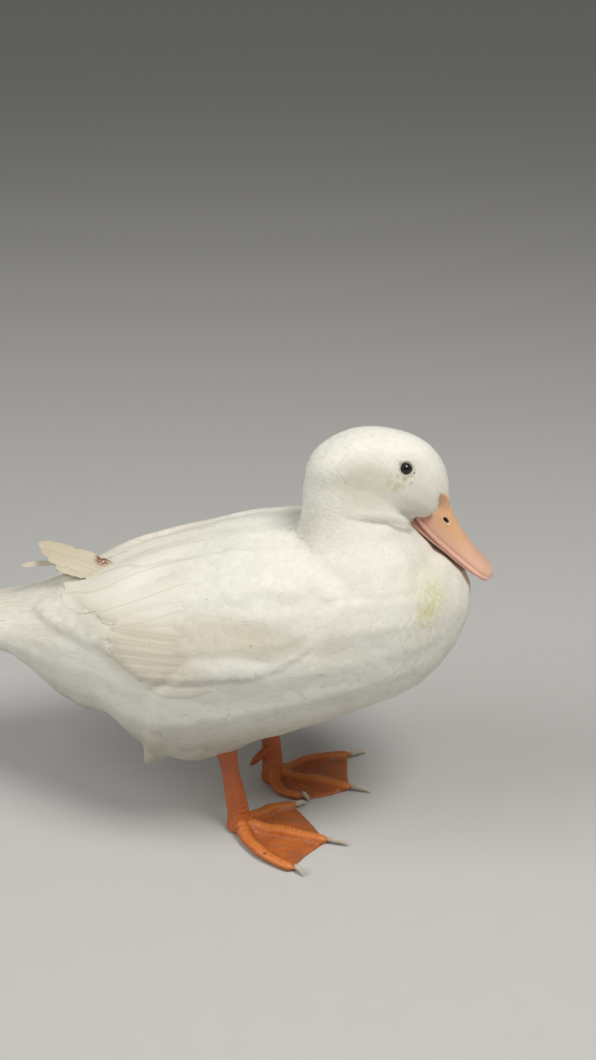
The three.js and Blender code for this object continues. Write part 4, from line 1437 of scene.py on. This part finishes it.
# How square a section is, and how far each mandible reaches below its edge.
BILL_ARCH = 2.3
UPPER_FLOOR, LOWER_FLOOR = 1.2, 2.4
NOSTRIL = {"along": 8.0, "height": 7.4, "length": 6.4, "width": 2.4, "depth": 2.6, "slant": math.radians(1)}
RIM = {"height": 0.75, "width": 1.5, "middle": 0.9}
GROOVE = {"depth": 0.35, "middle": 3.6, "width": 1.1}
NAIL = {"middle": 67.0, "half_length": 9.5, "half_width": 5.2, "height": 0.55}
# How the bill's base lies on the face: rays start this far out, and over the run it takes up the bill's
# own shape.
HUG = {"from": 34.0, "lowest": -0.45, "reach": 16.0, "level": 0.3, "sink": 1.4, "run": 9.0}


def mandible(rows, floor, around, along):
    """Points of a mandible on a grid, and each one's (along, side, up) in the bill's frame."""
    t = np.linspace(0, 1, along)
    t = 0.5 - 0.5 * np.cos(np.pi * t)
    row = table(rows, t)
    angle = full_turn(around)
    c, s = np.cos(angle), np.sin(angle)
    power = 2 / BILL_ARCH
    side = row[:, 3:4] * np.sign(c) * np.abs(c) ** power
    edge = row[:, 2:3]
    reach = np.where(s > 0, row[:, 1:2] - edge, np.minimum(floor, row[:, 3:4]))
    up = edge + reach * np.sign(s) * np.abs(s) ** power
    ahead = np.broadcast_to(row[:, 0:1], side.shape)
    return np.stack([ahead, side, up], -1)


def push(local, grid, amount):
    """Moves grid points out along the surface's own normals."""
    rows, columns = grid
    shape = local.reshape(rows, columns, 3)
    down = np.gradient(shape, axis=0)
    round_ = np.roll(shape, -1, axis=1) - np.roll(shape, 1, axis=1)
    normal = unit(np.cross(round_, down))
    centre = shape.mean(axis=1, keepdims=True)
    normal = normal * np.where(np.sum(normal * (shape - centre), -1, keepdims=True) < 0, -1, 1)
    return shape + normal * amount.reshape(rows, columns, 1)


def hugged(surface, local, shape):
    """The bill's base laid over the face: it joins the head smoothly and dips in under the feathers."""
    rows = np.flatnonzero(local[:, 0, 0] < 10)
    top, low = local[rows, :, 2].max(1), local[rows, :, 2].min(1)
    centre = np.stack([local[rows, 0, 0], 0 * top, lerp(low, top, 0.4)], -1)[:, None]
    gap = shape[rows] - centre
    gap[..., 0] = 0
    own = np.linalg.norm(gap, axis=-1)
    way = unit(gap)
    start = on_bill(*np.moveaxis(centre + HUG["from"] * way, -1, 0))
    inward = unit(on_bill(*np.moveaxis(centre + 0 * way, -1, 0)) - start)
    found = HUG["from"] - surface.cast(start, inward, HUG["from"])
    valid = (way[..., 2] > HUG["lowest"]) & (np.abs(found - own) < HUG["reach"])
    found = np.where(valid, found, own - 2)
    inside = bill_bareness(centre + found[..., None] * way)
    blended = lerp(found + HUG["level"], own, smoothstep(inside, 0, HUG["run"]))
    sunk = np.minimum(own, found - HUG["sink"])
    radius = lerp(sunk, blended, smoothstep(inside, -0.9, 0.2))
    radius = np.where(valid, radius, lerp(own - 1.5, own, smoothstep(centre[..., 0], -12, -8)))
    done = shape.copy()
    done[rows] = centre + radius[..., None] * way
    done[rows, :, 0] = local[rows, :, 0]
    return done


def build_bill(surface, material):
    grid = (170, 144)
    local = mandible(UPPER_BILL, UPPER_FLOOR, grid[1], grid[0])
    ahead, side, up = np.moveaxis(local, -1, 0)
    edge = np.interp(ahead, [r[0] for r in UPPER_BILL], [r[2] for r in UPPER_BILL])
    above = up - edge
    body = smoothstep(ahead, -12, -4) * (1 - smoothstep(ahead, 64, 69))
    rim = RIM["height"] * bell(above, RIM["middle"], RIM["width"]) * body * (above > -0.6)
    groove = -GROOVE["depth"] * bell(above, GROOVE["middle"], GROOVE["width"]) * body
    cosine, sine = math.cos(NOSTRIL["slant"]), math.sin(NOSTRIL["slant"])
    from_hole, over_hole = ahead - NOSTRIL["along"], up - NOSTRIL["height"]
    nx = from_hole * cosine + over_hole * sine
    nz = -from_hole * sine + over_hole * cosine
    hole = np.sqrt((nx / (NOSTRIL["length"] / 2)) ** 2 + (nz / (NOSTRIL["width"] / 2)) ** 2)
    hole = np.where(np.abs(side) > 3, hole, 9)
    nostril = -NOSTRIL["depth"] * (1 - smoothstep(hole, 0.55, 1.15)) + 0.4 * bell(hole, 1.5, 0.45)
    off_nail = np.hypot((ahead - NAIL["middle"]) / NAIL["half_length"], side / NAIL["half_width"])
    nail = NAIL["height"] * (1 - smoothstep(off_nail, 0.8, 1.05)) * (above > 0.5)
    ridge = 0.35 * bell(side, 0, 2.6) * smoothstep(ahead, 56, 30) * (above > 2)
    shape = push(local, grid, rim + groove + nostril + nail + ridge)
    attributes = {"bill": np.stack([ahead, side, above], -1).reshape(-1, 3), "hole": hole.ravel()}
    shape = hugged(surface, local, shape)
    points = on_bill(*np.moveaxis(shape, -1, 0)).reshape(-1, 3)
    faces = grid_faces(*grid, closed=True)[:, ::-1]
    new_piece("bill_upper_skin", points, faces, material, ["bill_upper"], attributes)

    grid = (90, 80)
    local = mandible(LOWER_BILL, LOWER_FLOOR, grid[1], grid[0])
    ahead, side, up = np.moveaxis(local, -1, 0)
    edge = np.interp(ahead, [r[0] for r in LOWER_BILL], [r[2] for r in LOWER_BILL])
    comb = 0.12 * np.sin(ahead * 2 * np.pi / 1.6) * (np.abs(up - edge - 0.5) < 1.4) * smoothstep(ahead, 5, 15)
    shape = push(local, grid, comb)
    bill = np.stack([ahead, side, up - edge - 4], -1).reshape(-1, 3)
    attributes = {"bill": bill, "hole": np.full(len(bill), 9.0)}
    points = on_bill(*np.moveaxis(shape, -1, 0)).reshape(-1, 3)
    faces = grid_faces(*grid, closed=True)[:, ::-1]
    new_piece("bill_lower_skin", points, faces, material, ["bill_lower"], attributes)


# ---------------------------------------------------------------- eyes

BALL_GRID = (48, 64)
LID = {"opening": 4.15, "reach": 6.8, "rim": 0.3, "rows": 18, "oval": 0.05, "droop": 0.1}


def build_eye(name, ball_material, lid_material):
    """A wet ball with a bulging cornea, and the ring of bare lid skin that runs out under the feathers."""
    side = SIDES[name]
    rows, columns = BALL_GRID
    polar = np.linspace(0.004, math.pi, rows)[:, None]
    angle = full_turn(columns)[None, :]
    radius = EYE["radius"] + EYE["bulge"] * (1 - smoothstep(polar, 0.0, 0.6)) + 0 * angle
    sunk = EYE["proud"] - EYE["radius"]
    ring = radius * np.sin(polar)
    points = on_eye(side, ring * np.cos(angle), ring * np.sin(angle), sunk + radius * np.cos(polar))
    points = points.reshape(-1, 3)
    faces = grid_faces(rows, columns, closed=True)
    faces = faces[:, ::-1] if side > 0 else faces
    look = {"look": np.broadcast_to(np.degrees(polar), (rows, columns)).ravel()}
    new_piece(f"eyeball_{name}", points, faces, ball_material, [f"eye_{name}"], look)

    share = np.linspace(0, 1, LID["rows"])[:, None]
    oval = 1 + LID["oval"] * np.cos(2 * angle) - LID["droop"] * np.maximum(np.sin(angle), 0) ** 2
    radius = lerp(LID["opening"] * oval, LID["reach"], share**1.2)
    along, up = radius * np.cos(angle), radius * np.sin(angle)
    ball = sunk + np.sqrt(np.maximum(EYE["radius"] ** 2 - radius**2, 0))
    face = -0.25 - radius**2 / 56
    out = lerp(ball + 0.2, face, smoothstep(share, 0.0, 0.6))
    out = out + LID["rim"] * bell(share, 0.14, 0.12) - 0.4 * smoothstep(share, 0.6, 1)
    out = out - 0.8 * (1 - smoothstep(share, 0.0, 0.07))
    out = out - 0.12 * bell(share, 0.3, 0.05) - 0.08 * bell(share, 0.46, 0.04)
    faces = grid_faces(LID["rows"], columns, closed=True)
    faces = faces[:, ::-1] if side > 0 else faces
    share = np.broadcast_to(share, (LID["rows"], columns)).ravel()
    points = on_eye(side, along, up, out).reshape(-1, 3)
    new_piece(f"eyelid_{name}", points, faces, lid_material, (), {"share": share})


# ---------------------------------------------------------------- skins of bill, eyes and feet


def bill_material():
    n = Nodes("bill_skin")
    place = n.place()
    bill = n.attribute("bill", "Vector")
    ahead, _, above = n.split(bill)
    soft = n.noise(place, 60, 2)
    fine = n.noise(place, 420, 4, 0.6)
    colour = n.mix(soft, (0.76, 0.44, 0.31), (0.82, 0.51, 0.36))
    warm = n.times(n.ramp(above, 5, 13), n.ramp(ahead, 52, 18))
    colour = n.tint(colour, (0.82, 0.46, 0.21), warm, 0.6)
    gape = n.times(n.ramp(ahead, 7, -5), n.ramp(above, 13, 3))
    colour = n.tint(colour, (0.66, 0.29, 0.26), gape, 0.8)
    rim = n.times(n.ramp(above, 2.9, 2.0), 0.7)
    colour = n.mix(rim, colour, (0.84, 0.50, 0.40))
    line = n.times(n.ramp(above, 2.2, 3.2), n.ramp(above, 4.6, 3.6))
    colour = n.tint(colour, (0.50, 0.22, 0.14), line, 0.5)
    low_line = n.times(n.ramp(above, -0.5, 0.1), n.ramp(above, 0.7, 0.2))
    colour = n.tint(colour, (0.48, 0.20, 0.15), low_line, 0.6)
    nail = n.ramp(ahead, 58, 66)
    colour = n.tint(colour, (0.86, 0.60, 0.46), nail, 0.45)
    speck = n.ramp(n.noise(place, 900, 2), 0.70, 0.78)
    colour = n.tint(colour, (0.45, 0.22, 0.10), speck, 0.35)
    hole = n.attribute("hole")
    halo = n.times(n.ramp(hole, 2.3, 1.3), 0.45)
    colour = n.mix(halo, colour, (0.88, 0.62, 0.46))
    # Painted shade: the nostril's dent made near-black for the dark inside the open nostril.
    colour = n.mix(n.ramp(hole, 1.12, 0.9), colour, (0.035, 0.014, 0.010))
    colour = n.tint(colour, (0.45, 0.20, 0.12), fine, 0.12)
    grain = n.math("ADD", n.times(fine, 0.6), n.times(n.noise(place, 1400, 2), 0.4))
    return n.finish(colour, n.ramp(fine, 0.2, 0.8, 0.36, 0.52), n.bump(grain, 0.25, 0.0003))


def eye_material():
    n = Nodes("eye_wet")
    look = n.attribute("look")
    iris = n.noise(n.place(), 900, 2)
    brown = n.mix(iris, (0.010, 0.009, 0.012), (0.030, 0.024, 0.026))
    colour = n.mix(n.ramp(look, 17, 21), (0.003, 0.003, 0.006), brown)
    return n.finish(colour, n.ramp(iris, 0.2, 0.8, 0.05, 0.09))


def lid_material():
    n = Nodes("eyelid_skin")
    share = n.attribute("share")
    fine = n.noise(n.place(), 1200, 3)
    colour = n.mix(n.ramp(share, 0.06, 0.34), (0.028, 0.027, 0.034), (0.42, 0.38, 0.33))
    colour = n.tint(colour, (0.20, 0.16, 0.14), fine, 0.4)
    return n.finish(colour, n.ramp(fine, 0.2, 0.8, 0.45, 0.65), n.bump(fine, 0.4, 0.0002))


# ---------------------------------------------------------------- legs and feet

FOOT_VOXEL = 0.75
CLAW_GRID = (26, 20)
# The toes are softened in this many steps, and pressed a little flat near the ankle.
TOE_MELT = 34
TOE_SQUASH = 0.8
# Creases across the front of the ankle: height of each and its width.
ANKLE_CREASES = (24, 1.3), (28.5, 1.0), (19, 1.2)
CREASE_DEPTH = 0.5
# A dark spot on the right foot's outer web.
WEB_SPOT = (33, -79, 5)
# Each leg: its hock and ankle, and its toes as (bearing, length, curl, claw), inner to outer.
LEGS = {
    "right": {
        "hock": (-4, -45, 79), "ankle": (4.5, -41, 14), "hind": math.radians(130),
        "toes": {"inner": (43, 56, 26, 8), "middle": (-5, 76, 0, 14), "outer": (-41, 73, -32, 8)},
    },
    "left": {
        "hock": (12, 45, 79), "ankle": (18.5, 33, 14), "hind": math.radians(205),
        "toes": {"inner": (-38, 38, -58, 6), "middle": (-3, 70, 8, 14), "outer": (38, 79, 26, 12)},
    },
}
# Plates on the toes and the front of the shank, the net of scales elsewhere and the ridge along each toe.
SCUTE = {"pitch": 2.1, "height": 0.11, "shank_pitch": 3.2, "shank_height": 0.28, "net": 0.14, "ridge": 0.15}


def toe_line(leg, toe, share, extra=0.0):
    """Places on the floor along a toe, from the ankle at share 0 to its tip at 1 and beyond it."""
    bearing, length, curl, _ = toe
    turn = np.radians(bearing + curl * np.maximum(0, 1 - share))
    reach = length * share + extra
    x, y, _ = leg["ankle"]
    return np.stack(np.broadcast_arrays(x + 2 + reach * np.cos(turn), y + reach * np.sin(turn)), -1)


def toe_field(leg, points):
    """For each point: how far it is from the nearest toe's line, and how far along that toe."""
    nearest, along = np.full(len(points), np.inf), np.zeros(len(points))
    share = np.linspace(0, 1, 60)
    for toe in leg["toes"].values():
        line = toe_line(leg, toe, share)
        run = run_along(line)
        gap = np.linalg.norm(points[:, None, :2] - line, axis=2)
        i = gap.argmin(axis=1)
        closer = gap.min(axis=1) < nearest
        nearest = np.where(closer, gap.min(axis=1), nearest)
        along = np.where(closer, run[i], along)
    return nearest, along


def cells(points, size):
    """A net of small scales: 0 along their borders and near 1 in their middles."""
    values = [noise.voronoi(Vector(p / size))[0] for p in points]
    return np.array([min(1.0, 1.6 * (v[1] - v[0])) for v in values])


def grow_foot(name, material):
    """One skin over shank, toes and webs, with scutes down the front and a net of small scales elsewhere."""
    leg, side = LEGS[name], SIDES[name]
    parts = [f"{part}_{name}" for part in ("shank", "foot", "hind_toe")]
    skin = Surface(parts, FOOT_VOXEL, 0.25)
    floor = skin.points[:, 2].min()
    z = skin.points[:, 2]
    soft = smoothstep(z, floor + 0.3, floor + 1.6)
    skin.soften(12, 0.9 * soft)
    out = np.hypot(skin.points[:, 0] - leg["ankle"][0], skin.points[:, 1] - leg["ankle"][1])
    flat = smoothstep(out, 7, 20) * (1 - smoothstep(skin.points[:, 2], 10, 15))
    skin.soften(TOE_MELT, 0.8 * flat * soft)
    pressed = flat * soft * (1 - smoothstep(out, 24, 36))
    low = floor + TOE_SQUASH * (skin.points[:, 2] - floor)
    skin.points[:, 2] = lerp(skin.points[:, 2], low, pressed)
    skin.smooth(14, 0.6 * soft)
    distance, along = toe_field(leg, skin.points)
    z = skin.points[:, 2]
    top = smoothstep(skin.normals[:, 2], 0.0, 0.5) * (1 - smoothstep(z, 20, 30))
    toe = (1 - smoothstep(distance, 2.6, 5.6)) * top
    hock, ankle = np.array(leg["hock"], float), np.array(leg["ankle"], float)
    axis = unit(ankle - hock)
    down = (skin.points - hock) @ axis
    ahead = unit(skin.points - hock - down[:, None] * axis) @ unit(np.array([1.0, side * 0.1, 0.1]))
    shank = smoothstep(z, 15, 24)
    front = shank * smoothstep(ahead, 0.1, 0.55)
    net = cells(skin.points * [1, 1, 0.8], 1.7)
    plate = np.abs(np.sin(np.pi * along / SCUTE["pitch"] + 0.9 * np.sin(along * 0.4)))
    ring = np.abs(np.sin(np.pi * (down + 2.0 * ahead) / SCUTE["shank_pitch"]))
    scute = lerp(plate, ring, shank)
    share = np.clip(toe + front, 0, 1)
    shown = lerp(net, scute**0.6, share)
    plate_height = lerp(SCUTE["height"], SCUTE["shank_height"], shank)
    height = lerp(SCUTE["net"] * net, plate_height * scute**0.6, share)
    ridge = SCUTE["ridge"] * (1 - smoothstep(distance, 0.5, 4.2)) * top
    height = height + ridge * (1 - 0.6 * smoothstep(along, 10, 60))
    fold = noise_field(skin.points, (9, 9, 9)) * 0.5 + noise_field(skin.points + 50, (4, 4, 4)) * 0.22
    height = height + fold * (1 - share) * top
    crease = sum(bell(z, middle, width) for middle, width in ANKLE_CREASES)
    height = height - CREASE_DEPTH * crease * smoothstep(ahead, -0.3, 0.6) * (1 - toe)
    grounded = smoothstep(z, floor + 0.2, floor + 1.2)
    skin.points = skin.points + skin.normals * (height * grounded)[:, None]
    marks = np.stack([toe, shown, shank], -1)
    new_piece(f"foot_skin_{name}", skin.points, skin.faces, material, parts, {"scale": marks})


def grow_claws(name, material):
    """Long claws, rounded above and hollowed beneath, curving down to the floor."""
    leg = LEGS[name]
    rows, columns = CLAW_GRID
    share = np.linspace(0, 1, rows)[:, None]
    angle = full_turn(columns)[None, :]
    for toe_name, toe in leg["toes"].items():
        length = toe[3]
        places = [-4.5, 0, 0.45 * length, 0.8 * length, length]
        extra = lerp(-4.5, length, share)
        middle = toe_line(leg, toe, np.ones_like(share[:, 0]), extra[:, 0])
        height = np.interp(extra[:, 0], places, [4.2, 4.5, 4.1, 2.7, 1.1])
        width = np.interp(share[:, 0], [0, 0.1, 0.35, 0.7, 0.93, 1], [0.3, 1.7, 2.1, 1.5, 0.7, 0.05])
        turn = math.radians(toe[0])
        across = np.array([-math.sin(turn), math.cos(turn), 0])
        ridge = 1.25 + 0.25 * np.maximum(np.sin(angle), 0) ** 2 - 0.35 * np.maximum(-np.sin(angle), 0)
        centre = np.concatenate([middle, height[:, None]], 1)[:, None]
        side_step = (width[:, None] * np.cos(angle))[..., None] * across
        points = centre + side_step
        points[..., 2] += width[:, None] * ridge * np.sin(angle) + 0.05 * np.sin(share * 60) * np.sin(angle)
        points[..., 2] = np.maximum(points[..., 2], 0.25)
        points = points.reshape(-1, 3)
        faces = grid_faces(rows, columns, closed=True)[:, ::-1]
        tip = {"tip": np.broadcast_to(share, (rows, columns)).ravel()}
        piece, solid = f"claw_horn_{toe_name}_{name}", f"claw_{toe_name}_{name}"
        new_piece(piece, points, faces, material, [solid], tip)


def foot_material():
    n = Nodes("foot_skin")
    place = n.place()
    toe, scale, shank = n.split(n.attribute("scale", "Vector"))
    fine = n.noise(place, 500, 4, 0.6)
    broad = n.noise(place, 70, 3)
    colour = n.mix(n.ramp(broad, 0.3, 0.7), (0.50, 0.115, 0.014), (0.62, 0.165, 0.022))
    colour = n.tint(colour, (0.72, 0.225, 0.04), toe, 0.45)
    colour = n.tint(colour, (0.46, 0.105, 0.028), shank, 0.7)
    groove = n.ramp(scale, 0.45, 0.05)
    colour = n.tint(colour, (0.25, 0.055, 0.015), groove, 0.22)
    # Painted highlight: the middles of the scales made lighter, more so on the toes.
    painted_scale_highlight = n.times(n.ramp(scale, 0.6, 1.0), n.math("MULTIPLY_ADD", toe, 0.12, 0.1))
    colour = n.mix(painted_scale_highlight, colour, (0.84, 0.38, 0.13))
    web = n.times(n.ramp(toe, 0.35, 0.0), n.ramp(shank, 0.3, 0.0))
    colour = n.tint(colour, (0.30, 0.085, 0.025), web, n.ramp(fine, 0.3, 0.7), 0.55)
    _, _, z = n.split(place)
    # Darker brown within 6 mm of the floor, broken up by noise.
    darker_near_floor = n.times(n.ramp(z, 0.006, 0.001), n.ramp(n.noise(place, 160, 3), 0.4, 0.6))
    colour = n.tint(colour, (0.20, 0.12, 0.07), darker_near_floor, 0.5)
    spot = n.blob(place, WEB_SPOT, (1.7, 1.3, 4.0), 0.3)
    colour = n.tint(colour, (0.07, 0.025, 0.015), spot, 0.85)
    colour = n.tint(colour, (0.30, 0.08, 0.03), fine, 0.15)
    return n.finish(colour, n.ramp(fine, 0.2, 0.8, 0.38, 0.58), n.bump(fine, 0.3, 0.0003))


# ---------------------------------------------------------------- the model


def dress_solids(horn, claw):
    """The solids left to show carry the same materials as the skins over them."""
    for name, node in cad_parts.items():
        node.data.materials.clear()
        node.data.materials.append(claw if "claw" in name else horn)


def build_model():
    plumage, wing_vanes, flight = plumage_material(), wing_material(), flight_material()
    claw, horn, foot = claw_material(), bill_material(), foot_material()
    ball, lid = eye_material(), lid_material()
    dress_solids(horn, claw)
    skin = build_skin()
    sink_skin(skin)
    new_piece("skin", underdown(skin), skin.faces, plumage, replaced=FLESH)
    grow_coat(skin, plumage)
    for name, side in SIDES.items():
        grow_foot(name, foot)
        grow_claws(name, claw)
        grow_wing(skin, side, name, wing_vanes)
        grow_primaries(name, flight)
        build_eye(name, ball, lid)
    grow_tail(skin, wing_vanes)
    build_bill(skin, horn)


def note_size():
    """Works out the size of the solids and of the finished model."""
    boxes = {"cad": cad_box, "visual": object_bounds()}
    boxes = {name: [[float(v) for v in corner] for corner in box] for name, box in boxes.items()}


make_camera()
make_floor()
make_light()
build_model()
note_size()
